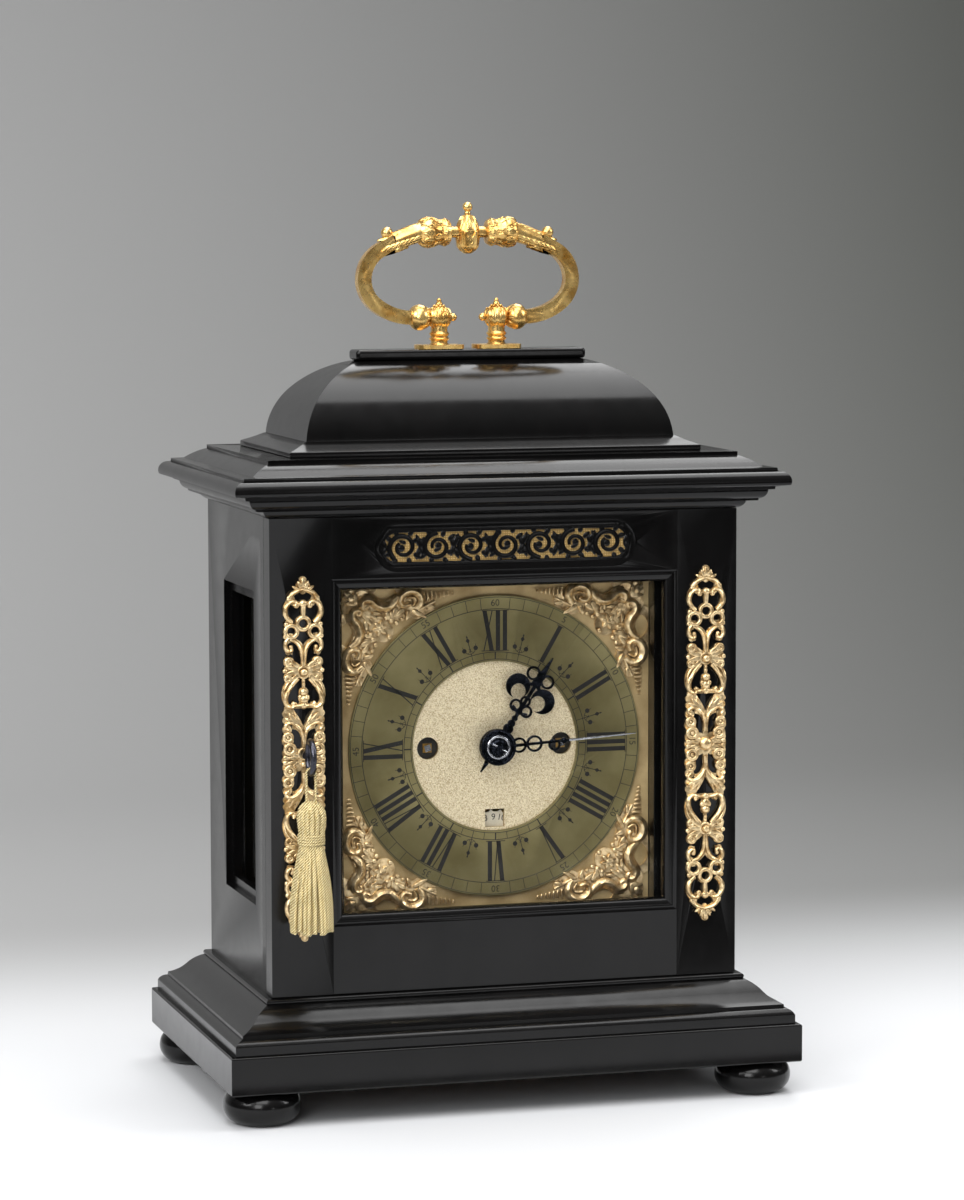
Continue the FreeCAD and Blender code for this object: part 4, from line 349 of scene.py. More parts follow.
def goldThread():
    # silk cord wound with gilt strip: pale gold, twisted, each turn about 0.9 mm
    material, tree, surface, place = newMaterial("twistedGoldThread", Metallic=0.4, Roughness=0.38)
    twist = addNode(tree, "ShaderNodeMapping", {"Vector": place, "Rotation": (0.3, 0.75, 0.4)})
    turns = addNode(tree, "ShaderNodeTexWave",
                    {"Vector": twist.outputs[0], "Scale": 330.0, "Distortion": 1.6, "Detail": 2.0},
                    bands_direction="Z")
    mixed = addNode(tree, "ShaderNodeMath", {0: turns.outputs["Fac"], 1: noise(tree, place, 0.9, 2)},
                    operation="MULTIPLY")
    painted(tree, surface, mixedColour(tree, mixed.outputs[0], "#a98f52", "#f6e8b8", 0.05, 0.4))
    bumped(tree, surface, turns.outputs["Fac"], 0.0003, 0.8)
    return material


def windowGlass():
    # clear crown glass, nearly invisible from the front
    material, tree, surface, place = newMaterial("clearGlass", IOR=1.5, Alpha=0.05)
    painted(tree, surface, mixedColour(tree, noise(tree, place, 80, 1), "#0d1110", "#141816"),
            rangeOf(tree, noise(tree, place, 50, 2), 0.02, 0.05))
    return material


def blackWax():
    # engraved lines filled with black wax
    material, tree, surface, place = newMaterial("blackWax")
    painted(tree, surface, mixedColour(tree, noise(tree, place, 1.5, 3), "#0c0b0a", "#1d1a16"),
            rangeOf(tree, noise(tree, place, 3, 2), 0.35, 0.6))
    return material


wood, gilt, matted, ring = ebonisedWood(), giltBrass(), mattedBrass(), ringBrass()
handleGilt = giltBrass("burnishedGiltBrass", 0.00003, 3.0, "#c08a3a", "#f4cd80", (0.2, 0.34))
silvered = plainBrass("silveredBrass", "#cdc5ae", "#ece6d4", (0.4, 0.55), 0.3)
polished = darkSteel("polishedSteel", "#8d9096", "#d4d6da", (0.16, 0.3))
brass, dialBrass = plainBrass(), plainBrass("dialPlateBrass", "#9a8256", "#cdb484", (0.42, 0.6), 0.6)
blued, keySteel = darkSteel(), darkSteel("darkKeySteel", "#2a2a2f", "#5a5a62", (0.2, 0.4))
steel = darkSteel("polishedSteel", "#77787c", "#a5a6aa", (0.2, 0.35))
oak, silk, thread, glass, wax = oilFinishedOak(), wovenSilk(), goldThread(), windowGlass(), blackWax()
print("materials")


# ---- finishing what the frame holds ----

def onlySelect(piece):
    bpy.ops.object.select_all(action="DESELECT")
    piece.select_set(True)
    bpy.context.view_layer.objects.active = piece


def finished(piece, material, body, angle=32):
    onlySelect(piece)
    piece.data.materials.clear()
    piece.data.materials.append(material)
    bpy.ops.object.shade_smooth_by_angle(angle=math.radians(angle))
    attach(piece, body)
    return piece


def dressed(node, material, bevel):
    # a copy of the node with its edges eased, which stands for the node
    piece = nodes[node].copy()
    piece.data = nodes[node].data.copy()
    bpy.context.collection.objects.link(piece)
    piece.parent = None
    piece.matrix_world = Matrix()
    piece.name = node + "Finished"
    onlySelect(piece)
    bpy.ops.object.mode_set(mode="EDIT")
    bpy.ops.mesh.select_all(action="SELECT")
    bpy.ops.mesh.remove_doubles(threshold=0.000004)
    bpy.ops.mesh.dissolve_limited(angle_limit=math.radians(0.6))
    bpy.ops.object.mode_set(mode="OBJECT")
    if bevel:
        ease = piece.modifiers.new("ease", "BEVEL")
        ease.width = bevel * mm
        ease.segments = 2
        ease.limit_method = "ANGLE"
        ease.angle_limit = math.radians(28)
        bpy.ops.object.modifier_apply(modifier="ease")
    finished(piece, material, bodyOf[node])
    even = piece.modifiers.new("even", "WEIGHTED_NORMAL")
    even.keep_sharp = True
    bpy.ops.object.modifier_apply(modifier="even")
    planed(piece)
    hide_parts(node)
    return piece


def planed(piece):
    # broad flat faces are shaded flat, so that the rounded edges don't tint them
    work = bmesh.new()
    work.from_mesh(piece.data)
    for face, polygon in zip(work.faces, piece.data.polygons):
        around = sum(edge.calc_length() for edge in face.edges)
        if 2 * face.calc_area() > 1.2 * mm * around:
            curved = [edge.calc_length() for edge in face.edges
                      if len(edge.link_faces) == 2 and 0.7 < math.degrees(edge.calc_face_angle(0)) < 20]
            polygon.use_smooth = sum(curved) > 0.3 * around
    work.free()


woodNodes = {"base_plinth": 0.9, "base_moulding": 0.35, "case_side_left": 0.5, "case_side_right": 0.5,
             "cornice_moulding": 0.35, "step_moulding": 0.4, "dome": 0.8, "top_slab": 0.3, "bun_feet": 0.5,
             "dial_mask": 0.5, "door_frame": 0.45, "back_door_frame": 0.6}
for node, ease in woodNodes.items():
    dressed(node, wood, ease)
plainNodes = {
    glass: ["side_window_glasses", "door_glass", "back_door_glass"],
    oak: ["base_board", "seat_board", "case_top_board"],
    brass: ["case_hinges_and_keeper", "front_door_hinge_leaves", "back_door_hinge_leaves",
            "back_door_turn_button", "front_plate", "back_plate", "plate_pillars", "train_cocks",
            "cannon_wheel", "hour_wheel", "minute_wheel", "going_barrel", "going_fusee", "centre_wheel",
            "contrate_wheel", "crown_wheel", "striking_barrel", "striking_fusee", "pin_wheel",
            "hoop_wheel", "warning_wheel", "fly", "bell_on_stand"],
    silvered: ["date_disc"],
    steel: ["verge_pendulum", "bell_hammer", "lock_bolt", "lock_case"],
    silk: ["fret_silk"],
}
for material, members in plainNodes.items():
    for node in members:
        nodes[node].data.materials.clear()
        nodes[node].data.materials.append(material)
for node, material, ease in (("handle_posts", handleGilt, 0.3), ("carrying_handle", handleGilt, 1.5),
                             ("door_key", keySteel, 0.15), ("mount_nails", gilt, 0),
                             ("spandrels", gilt, 0.8), ("door_mount_left", gilt, 0.6),
                             ("door_mount_right", gilt, 0.6), ("dial_plate", dialBrass, 0.2),
                             ("chapter_ring", ring, 0.15), ("hour_hand", blued, 0.25),
                             ("minute_hand", blued, 0.2)):
    dressed(node, material, ease)
print("frame pieces finished")


# ---- engraved dial ----

dial = {"height": 174.8, "plateFront": -46.5, "ringFront": -48.0, "inkDepth": 0.06,
        "minuteLines": (74.0, 68.2), "quarterLines": (46.8, 43.3), "numeral": (67.4, 47.5),
        "thick": 2.2, "thin": 0.5, "serif": 0.35, "line": 0.16, "centre": 42.2, "hole": 5.5,
        "holeOffset": 34.3, "window": (9.9, 9.0, 36.0)}
numerals = ["XII", "I", "II", "III", "IIII", "V", "VI", "VII", "VIII", "IX", "X", "XI"]
letterWidth = {"X": 6.4, "V": 5.9, "I": 3.6}


def joinAll(pieces, name):
    bpy.ops.object.select_all(action="DESELECT")
    for piece in pieces:
        piece.select_set(True)
    bpy.context.view_layer.objects.active = pieces[0]
    if len(pieces) > 1:
        bpy.ops.object.join()
    bpy.ops.object.transform_apply(location=True, rotation=True, scale=True)
    piece = bpy.context.object
    piece.name = name
    bpy.context.scene.cursor.location = (0, 0, 0)
    bpy.ops.object.origin_set(type="ORIGIN_CURSOR")
    return piece


def dialPoint(degrees, across, radius, y):
    # across is clockwise along the ring, radius outwards, as each numeral stands
    turn = math.radians(degrees)
    x = radius * math.sin(turn) + across * math.cos(turn)
    z = radius * math.cos(turn) - across * math.sin(turn)
    return Vector((x, y, z + dial["height"])) * mm


def inkStroke(degrees, start, end, width):
    # one engraved stroke between two (across, radius) places
    a = dialPoint(degrees, *start, dial["ringFront"])
    b = dialPoint(degrees, *end, dial["ringFront"])
    lean = math.atan2(b.z - a.z, b.x - a.x)
    bpy.ops.mesh.primitive_cube_add(size=1, location=(a + b) / 2, rotation=(0, -lean, 0),
                                    scale=((b - a).length, dial["inkDepth"] * mm * 2, width * mm))
    return bpy.context.object


def inkDisc(degrees, place, radius, sides=20, stretch=1.0):
    bpy.ops.mesh.primitive_cylinder_add(vertices=sides, radius=radius * mm, depth=dial["inkDepth"] * mm * 2,
                                        location=dialPoint(degrees, *place, dial["ringFront"]),
                                        rotation=(math.pi / 2, 0, 0))
    disc = bpy.context.object
    disc.scale = (1, stretch, 1)
    disc.rotation_euler = (math.pi / 2, math.radians(degrees), 0)
    return disc


def letterStrokes(letter, left, degrees):
    high, low = dial["numeral"]
    thick, thin = dial["thick"], dial["thin"]
    if letter == "I":
        middle = left + letterWidth["I"] / 2
        return [inkStroke(degrees, (middle, low), (middle, high), thick)]
    if letter == "V":
        return [inkStroke(degrees, (left + 1.3, high), (left + 3.3, low), thick),
                inkStroke(degrees, (left + 5.3, high), (left + 3.7, low), thin)]
    return [inkStroke(degrees, (left + 1.3, high), (left + 5.0, low), thick),
            inkStroke(degrees, (left + 5.2, high), (left + 1.0, low), thin)]


def addNumerals():
    strokes = []
    for hour, text in enumerate(numerals):
        degrees = 30 * hour
        width = sum(letterWidth[letter] for letter in text)
        left = -width / 2
        for radius in dial["numeral"]:
            strokes.append(inkStroke(degrees, (left - 0.2, radius), (left + width + 0.2, radius),
                                     dial["serif"]))
        for letter in text:
            strokes += letterStrokes(letter, left, degrees)
            left += letterWidth[letter]
    finished(joinAll(strokes, "romanNumerals"), wax, "case")


def addHalfHours():
    # between the hours: a stem with a spear head, two berries on curled stalks, a crossed foot
    strokes = []
    for hour in range(12):
        degrees = 30 * hour + 15
        strokes.append(inkStroke(degrees, (0, 46.9), (0, 54), 0.34))
        strokes.append(inkDisc(degrees, (0, 54.6), 1.0, 4, 1.5))
        strokes.append(inkDisc(degrees, (0, 56.4), 0.42, 4, 2.0))
        for side in (-1, 1):
            strokes.append(inkDisc(degrees, (side * 3.0, 50.1), 1.15))
            strokes.append(inkStroke(degrees, (side * 0.2, 47.6), (side * 1.9, 48.4), 0.28))
            strokes.append(inkStroke(degrees, (side * 1.9, 48.4), (side * 2.7, 49.6), 0.28))
            strokes.append(inkStroke(degrees, (side * 1.4, 48.0), (-side * 0.6, 50.4), 0.24))
            strokes.append(inkStroke(degrees, (side * 3.2, 51.0), (side * 3.6, 52.2), 0.24))
    finished(joinAll(strokes, "halfHourMarks"), wax, "case")


def addDivisions():
    # ring lines, minute divisions with a gap at each number, quarter-hour divisions inside
    strokes = []
    for radius in dial["minuteLines"] + dial["quarterLines"]:
        bpy.ops.mesh.primitive_torus_add(major_radius=radius * mm, minor_radius=dial["line"] * mm,
                                         major_segments=180, minor_segments=6,
                                         location=(0, dial["ringFront"] * mm, dial["height"] * mm),
                                         rotation=(math.pi / 2, 0, 0))
        circle = bpy.context.object
        circle.scale = (1, 1, 0.4)
        strokes.append(circle)
    outer, inner = dial["minuteLines"]
    for minute in range(60):
        if minute % 5:
            strokes.append(inkStroke(6 * minute, (0, inner), (0, outer), 0.26))
    outer, inner = dial["quarterLines"]
    for quarter in range(48):
        width = 0.6 if quarter % 4 == 0 else 0.26
        strokes.append(inkStroke(7.5 * quarter, (0, inner), (0, outer), width))
    finished(joinAll(strokes, "ringDivisions"), wax, "case")


def textPiece(body, size, thin=0.0):
    # letters in the XZ plane, centred on the origin, facing the front
    bpy.ops.object.text_add(location=(0, 0, 0), rotation=(math.pi / 2, 0, 0))
    text = bpy.context.object
    text.data.body = body
    text.data.size = size * mm
    text.data.extrude = dial["inkDepth"] * mm
    text.data.offset = -thin * mm
    text.data.align_x = "CENTER"
    text.data.align_y = "CENTER"
    onlySelect(text)
    bpy.ops.object.convert(target="MESH")
    bpy.ops.object.transform_apply(location=True, rotation=True, scale=True)
    return bpy.context.object


def addMinuteNumbers():
    numbers = []
    for minute in range(5, 61, 5):
        piece = textPiece(str(minute), 4.6, 0.03)
        piece.location = dialPoint(6 * minute, 0, 71.1, dial["ringFront"])
        piece.rotation_euler = (0, math.radians(6 * minute), 0)
        numbers.append(piece)
    finished(joinAll(numbers, "minuteNumbers"), wax, "case")


def drilled(piece, cutters):
    for cutter in cutters:
        onlySelect(piece)
        cut = piece.modifiers.new("cut", "BOOLEAN")
        cut.object = cutter
        cut.operation = "DIFFERENCE"
        cut.solver = "EXACT"
        bpy.ops.object.modifier_apply(modifier="cut")
        onlySelect(cutter)
        bpy.ops.object.delete()


def barrelAt(x, z, radius, y, depth, sides=64):
    bpy.ops.mesh.primitive_cylinder_add(vertices=sides, radius=radius * mm, depth=depth * mm,
                                        location=(x * mm, y * mm, z * mm), rotation=(math.pi / 2, 0, 0))
    return bpy.context.object


def addMattedCentre():
    # the centre inside the ring, punched all over, cut out for squares, pipe and date
    front, z = dial["plateFront"], dial["height"]
    centre = barrelAt(0, z, dial["centre"], front - 0.05, 0.3, 128)
    width, height, below = dial["window"]
    cutters = [barrelAt(x, z, dial["hole"], front, 2) for x in (-dial["holeOffset"], dial["holeOffset"])]
    cutters.append(barrelAt(0, z, 4.0, front, 2))
    bpy.ops.mesh.primitive_cube_add(size=1, location=(0, front * mm, (z - below) * mm),
                                    scale=(width * mm, 2 * mm, height * mm))
    cutters.append(bpy.context.object)
    drilled(centre, cutters)
    finished(joinAll([centre], "mattedCentre"), matted, "case")


dateSettings = {"discRadius": 20.5, "discFront": -44.1, "below": 56.5, "days": 31, "size": 4.4, "shown": 9}


def addDateNumbers():
    numbers = []
    z = dial["height"] - dateSettings["below"]
    for day in range(1, dateSettings["days"] + 1):
        turn = math.radians((day - dateSettings["shown"]) * 360 / dateSettings["days"])
        piece = textPiece(str(day), dateSettings["size"])
        radius = dateSettings["discRadius"]
        piece.location = Vector((radius * math.sin(turn), dateSettings["discFront"],
                                 z + radius * math.cos(turn))) * mm
        piece.rotation_euler = (0, turn, 0)
        numbers.append(piece)
    finished(joinAll(numbers, "dateNumbers"), wax, "date_disc")


addNumerals()
addHalfHours()
addDivisions()
addMinuteNumbers()
addMattedCentre()
addDateNumbers()
print("dial")


# ---- cast and chased ornament ----

def strandMesh(strands, kind, sides):
    # rounded strands, each through its points, with a thickness given at each point
    curve = bpy.data.curves.new("strand", "CURVE")
    curve.dimensions = "3D"
    curve.bevel_depth = mm
    curve.bevel_resolution = sides
    curve.resolution_u = 3
    curve.use_fill_caps = True
    for points, radii in strands:
        spline = curve.splines.new(kind)
        spline.points.add(len(points) - 1)
        for knot, point, radius in zip(spline.points, points, radii):
            knot.co = (*point, 1)
            knot.radius = radius
        if kind == "NURBS":
            spline.use_endpoint_u = True
            spline.order_u = min(3, len(points))
    strand = bpy.data.objects.new("strand", curve)
    bpy.context.collection.objects.link(strand)
    onlySelect(strand)
    bpy.ops.object.convert(target="MESH")
    return bpy.context.object


def sweep(points, radii, sides=1):
    return strandMesh([(points, radii)], "NURBS", sides)


def bead(place, radius, deep=0.75):
    bpy.ops.mesh.primitive_uv_sphere_add(segments=16, ring_count=10, radius=radius * mm, location=place,
                                         rotation=(math.pi / 2, 0, 0))
    piece = bpy.context.object
    piece.scale = (1, 1, deep)
    return piece


def leaf(place, degrees, length, width):
    # a pointed lobe that starts at the place and runs along the angle, with a groove down its middle
    bpy.ops.mesh.primitive_uv_sphere_add(segments=14, ring_count=10, radius=mm, location=place)
    lobe = bpy.context.object
    bpy.ops.object.transform_apply(location=False, rotation=False, scale=True)
    for vertex in lobe.data.vertices:
        along = vertex.co.z / mm
        vertex.co.x *= width / 2 * (1 - 0.35 * along)
        vertex.co.y *= 1.1 * (0.72 if abs(vertex.co.x) < 0.12 * width * mm else 1.0)
        vertex.co.z = (along + 0.85) * length / 2 * mm
    lobe.rotation_euler = (0, math.radians(degrees), 0)
    return lobe


def loop(place, radius, wire):
    bpy.ops.mesh.primitive_torus_add(major_radius=radius * mm, minor_radius=wire * mm, major_segments=28,
                                     minor_segments=10, location=place, rotation=(math.pi / 2, 0, 0))
    return bpy.context.object


def ornament(motifs, place, lift):
    # motifs are drawn in (across, up); place turns them into the part's frame
    pieces = []
    for kind, *rest in motifs:
        if kind == "scroll":
            points, radii = rest
            pieces.append(sweep([place(u, v, lift) for u, v in points], radii))
        elif kind == "leaf":
            u, v, degrees, length, width = rest
            pieces.append(leaf(place(u, v, lift), degrees, length, width))
        elif kind == "bead":
            u, v, radius = rest
            pieces.append(bead(place(u, v, lift), radius))
        else:
            u, v, radius, wire = rest
            pieces.append(loop(place(u, v, lift), radius, wire))
    return pieces


def mirroredAbout(piece, centre, axes):
    bpy.ops.object.empty_add(location=centre)
    middle = bpy.context.object
    onlySelect(piece)
    mirror = piece.modifiers.new("mirror", "MIRROR")
    mirror.mirror_object = middle
    mirror.use_axis = axes
    mirror.use_mirror_merge = False
    bpy.ops.object.modifier_apply(modifier="mirror")
    onlySelect(middle)
    bpy.ops.object.delete()


def lowered(piece, face, share):
    # the flat ground of a casting lies lower than its scrolls
    for vertex in piece.data.vertices:
        vertex.co.y = face * mm + (vertex.co.y - face * mm) * share


mountSettings = {"x": 102.5, "face": -68.0, "lift": 1.25, "ground": 0.42, "keyAbove": 3.0}
mountSides = [
    ("scroll", [(0, 82.8), (3.4, 82.2), (6.2, 80.2), (7.6, 77.4)], (1.0, 1.1, 1.2, 0.9)),
    ("leaf", 0.8, 83.2, 28, 4.4, 2.2), ("leaf", 2.2, 82.6, 62, 4.0, 1.9), ("bead", 6.9, 78.6, 1.3),
    ("scroll", [(3.2, 74.6), (3.0, 76.6), (5.4, 77.4), (8.2, 75.4), (9.2, 71.8), (8.0, 68.4),
     (5.4, 66.6)], (1.2, 1.0, 1.1, 1.3, 1.4, 1.2, 0.9)), ("bead", 3.3, 74.9, 1.4),
    ("scroll", [(0, 75.8), (3.2, 75.4)], (0.9, 0.9)), ("ring", 5.9, 62.4, 3.0, 1.05),
    ("bead", 8.4, 65.8, 1.3), ("bead", 2.9, 63.8, 1.0), ("bead", 8.9, 60.0, 1.2),
    ("scroll", [(6.8, 58.8), (4.4, 58.0), (1.9, 55.6), (0.5, 51.6), (0.3, 45.6)],
     (0.9, 1.1, 1.1, 1.1, 1.0)),
    ("scroll", [(7.0, 60.0), (9.0, 57.8), (9.0, 54.2), (7.0, 52.4), (5.4, 53.6), (6.4, 55.4)],
     (0.9, 1.1, 1.2, 1.1, 1.0, 0.9)), ("bead", 6.2, 54.9, 1.1), ("ring", 7.2, 47.8, 1.5, 1.0),
    ("bead", 7.2, 47.8, 0.9), ("leaf", 2.4, 43.8, 74, 7.4, 3.0), ("leaf", 2.4, 42.8, 98, 7.6, 3.0),
    ("leaf", 2.2, 44.8, 48, 6.6, 2.6), ("leaf", 2.2, 41.6, 124, 6.6, 2.6), ("ring", 7.6, 39.6, 1.3, 0.9),
    ("bead", 9.2, 43.4, 1.2),
    ("scroll", [(3.0, 39.8), (5.6, 36.8), (8.2, 33.0), (9.3, 29.4), (8.4, 26.4), (5.8, 25.2), (4.2, 26.8),
     (5.6, 28.2)], (1.3, 1.1, 1.2, 1.5, 1.3, 1.1, 1.0, 0.9)),
    ("scroll", [(6.6, 38.8), (8.8, 36.4), (9.9, 32.8), (9.9, 29.4)], (0.7, 0.7, 0.7, 0.6)),
    ("bead", 5.2, 27.3, 1.2), ("bead", 1.6, 30.4, 1.4),
    ("scroll", [(0, 26.2), (2.6, 26.8), (4.4, 26.2)], (1.1, 1.0, 0.9)),
    ("leaf", 0.9, 14.6, 38, 11.6, 3.6), ("leaf", 2.4, 16.4, 58, 8.6, 2.6),
    ("leaf", 1.0, 15.4, 24, 9.6, 2.2),
    ("scroll", [(0.3, 9.0), (0.5, 13.0), (2.6, 16.6), (6.0, 18.4), (8.8, 17.8), (9.4, 15.6), (7.8, 14.8)],
     (0.9, 1.0, 1.1, 1.1, 1.1, 1.0, 0.9)), ("ring", 7.8, 11.0, 1.9, 1.0), ("bead", 7.8, 11.0, 1.0),
    ("ring", 7.0, 5.4, 2.3, 1.1), ("bead", 7.0, 5.4, 1.3), ("leaf", 2.6, 1.2, 58, 5.0, 2.4),
    ("bead", 9.2, 1.2, 1.4), ("leaf", 3.2, 0.8, 84, 6.4, 2.2),
]
mountMiddle = [
    ("leaf", 0, 83.6, 0, 5.2, 2.4), ("bead", 0, 87.4, 1.0), ("bead", 0, 75.8, 2.0),
    ("ring", 0, 66.2, 3.0, 1.05), ("scroll", [(0, 74.6), (0, 72.4), (0, 69.4)], (1.6, 1.3, 1.1)),
    ("ring", 0, 42.6, 2.6, 0.8), ("bead", 0, 38.6, 0.8), ("bead", 0, 36.6, 0.9), ("bead", 0, 33.0, 2.0),
    ("bead", 0, 29.4, 2.1), ("bead", 0, 26.4, 1.7),
    ("scroll", [(0, 13.0), (0, 9.6), (0, 6.2)], (1.0, 1.2, 1.3)),
]


def addMount(side):
    def place(u, v, lift):
        return Vector((side * mountSettings["x"] + u, mountSettings["face"] - lift,
                       dial["height"] + v)) * mm
    name = "Left" if side < 0 else "Right"
    centre = place(0, 0, 0)
    lift = mountSettings["lift"]
    half = joinAll(ornament(mountSides, place, lift), "mountScrolls" + name)
    mirroredAbout(half, centre, (True, False, False))
    whole = joinAll([half] + ornament(mountMiddle, place, lift), "mountScrolls" + name)
    mirroredAbout(whole, centre, (False, False, True))
    boss = [("bead", 0, 0, 3.4)]
    if side < 0:
        boss = [("ring", 0, mountSettings["keyAbove"], 2.5, 0.9), ("bead", 0, -2.2, 1.6)]
    whole = joinAll([whole] + ornament(boss, place, lift), "mountScrolls" + name)
    finished(whole, gilt, "front_door", 60)


spandrelSettings = {"x": -80.25, "top": 82.0, "face": -46.5, "lift": 1.3, "ground": 0.4}
spandrelArm = [
    ("scroll", [(15.4, 10.6), (13.6, 12.2), (12.0, 10.4), (13.2, 7.6), (17.0, 7.4), (20.0, 10.6),
     (24.4, 11.8), (28.6, 9.4), (30.6, 6.2)], (1.5, 1.7, 2.0, 2.2, 2.5, 2.8, 2.6, 2.2, 1.7)),
    ("scroll", [(13.6, 5.4), (17.6, 5.2), (21.2, 8.4), (24.6, 9.4), (27.8, 7.4)],
     (0.8, 1.1, 1.1, 1.1, 0.8)),
    ("scroll", [(36.6, 10.0), (34.2, 11.4), (31.4, 9.4), (32.0, 5.4), (36.6, 2.9), (41.6, 4.6),
     (43.4, 9.2), (40.2, 12.6)], (1.5, 1.7, 2.0, 2.4, 2.8, 2.6, 2.2, 1.5)),
    ("scroll", [(35.0, 7.2), (38.4, 6.2), (40.4, 9.0), (38.2, 11.2)], (0.9, 1.1, 1.1, 0.8)),
    ("bead", 35.8, 10.0, 1.5), ("leaf", 38.4, 13.6, 118, 8.4, 2.6), ("leaf", 36.2, 13.4, 196, 5.4, 2.4),
    ("leaf", 33.6, 12.6, 232, 6.4, 2.6), ("leaf", 30.0, 11.8, 205, 6.8, 2.8),
    ("leaf", 27.4, 13.4, 176, 6.0, 2.4), ("leaf", 24.8, 13.6, 160, 5.2, 2.2), ("bead", 29.8, 19.2, 1.3),
    ("bead", 32.6, 17.4, 1.1), ("bead", 27.2, 18.0, 1.5), ("bead", 24.6, 16.6, 1.2),
    ("leaf", 9.8, 9.2, -88, 7.2, 2.8), ("leaf", 9.2, 8.6, -62, 7.4, 2.8),
    ("leaf", 12.0, 12.4, 152, 6.6, 2.8), ("leaf", 15.6, 13.8, 128, 6.4, 2.6),
    ("leaf", 17.8, 14.2, 96, 5.4, 2.2), ("bead", 10.0, 14.2, 1.7), ("leaf", 45.2, 11.4, 96, 5.0, 2.2),
    ("scroll", [(40.6, 13.2), (44.6, 11.6), (49.6, 9.0)], (1.1, 0.9, 0.7)),
]
spandrelMiddle = [("bead", 21.6, 21.6, 1.5), ("bead", 26.2, 26.2, 1.3), ("bead", 6.6, 6.6, 2.0),
                  ("leaf", 9.0, 9.0, -45, 8.4, 3.2), ("leaf", 12.6, 12.6, 135, 6.4, 3.4)]


def swapped(motif):
    # the same motif on the other side of the casting's diagonal
    kind, *rest = motif
    if kind == "scroll":
        return kind, [(v, u) for u, v in rest[0]], rest[1]
    if kind == "leaf":
        u, v, degrees, length, width = rest
        return kind, v, u, -90 - degrees, length, width
    return (kind, rest[1], rest[0], *rest[2:])


def addSpandrels():
    def place(u, v, lift):
        return Vector((spandrelSettings["x"] + u, spandrelSettings["face"] - lift,
                       dial["height"] + spandrelSettings["top"] - v)) * mm
    arm = list(spandrelArm)
    for rib in range(7):
        # the ribbed tail, each rib smaller than the last
        size = 2.5 - 0.3 * rib
        arm.append(("scroll",
                    [(45.6 + 2.1 * rib, 6.6 - size - 0.2 * rib), (46.3 + 2.1 * rib, 6.6 - 0.2 * rib),
                               (45.6 + 2.1 * rib, 6.6 + size - 0.2 * rib)], (0.5, 1.0 - 0.06 * rib, 0.5)))
    motifs = arm + [swapped(motif) for motif in arm] + spandrelMiddle
    motifs += [("leaf", 21.6, 21.6, 60 * petal + 15, 4.6, 2.5) for petal in range(6)]
    corner = joinAll(ornament(motifs, place, spandrelSettings["lift"]), "spandrelScrolls")
    centre = Vector((0, spandrelSettings["face"], dial["height"])) * mm
    mirroredAbout(corner, centre, (True, False, True))
    finished(corner, gilt, "case", 60)


for side in (-1, 1):
    addMount(side)
addSpandrels()
for name, settings in (("door_mount_leftFinished", mountSettings),
                       ("door_mount_rightFinished", mountSettings),
                       ("spandrelsFinished", spandrelSettings)):
    lowered(bpy.data.objects[name], settings["face"], settings["ground"])
print("cast ornament")


# ---- tassel of twisted cord ----

tassel = {"x": -102.5, "y": -83.0, "limb": 170.15, "top": 156.2, "neck": 141.0, "tied": 135.8,
          "bottom": 92.6,
          "headRadius": 7.2, "neckRadius": 5.6, "skirtRadius": 10.4, "skirtCords": 27, "headCords": 15}


def twisted(path, side, strand, helix, pitch, phase=0.0):
    # two strands wound round the path; side stays square to it
    strands = []
    for half in (0, math.pi):
        turn, points = phase + half, []
        for index, point in enumerate(path):
            ahead = path[min(index + 1, len(path) - 1)] - path[max(index - 1, 0)]
            other = ahead.cross(side).normalized()
            turn += (point - path[max(index - 1, 0)]).length / (pitch * mm) * 2 * math.pi
            points.append(point + (side * math.cos(turn) + other * math.sin(turn)) * helix * mm)
        strands.append((points, [strand] * len(points)))
    return strands


def skirtRadius(z):
    # the skirt opens quickly below its binding and then hangs straight
    down = (tassel["tied"] - z) / (tassel["tied"] - tassel["bottom"])
    spread = math.sin(min(1.0, down * 1.15) * math.pi / 2)
    return tassel["neckRadius"] + (tassel["skirtRadius"] - tassel["neckRadius"]) * spread


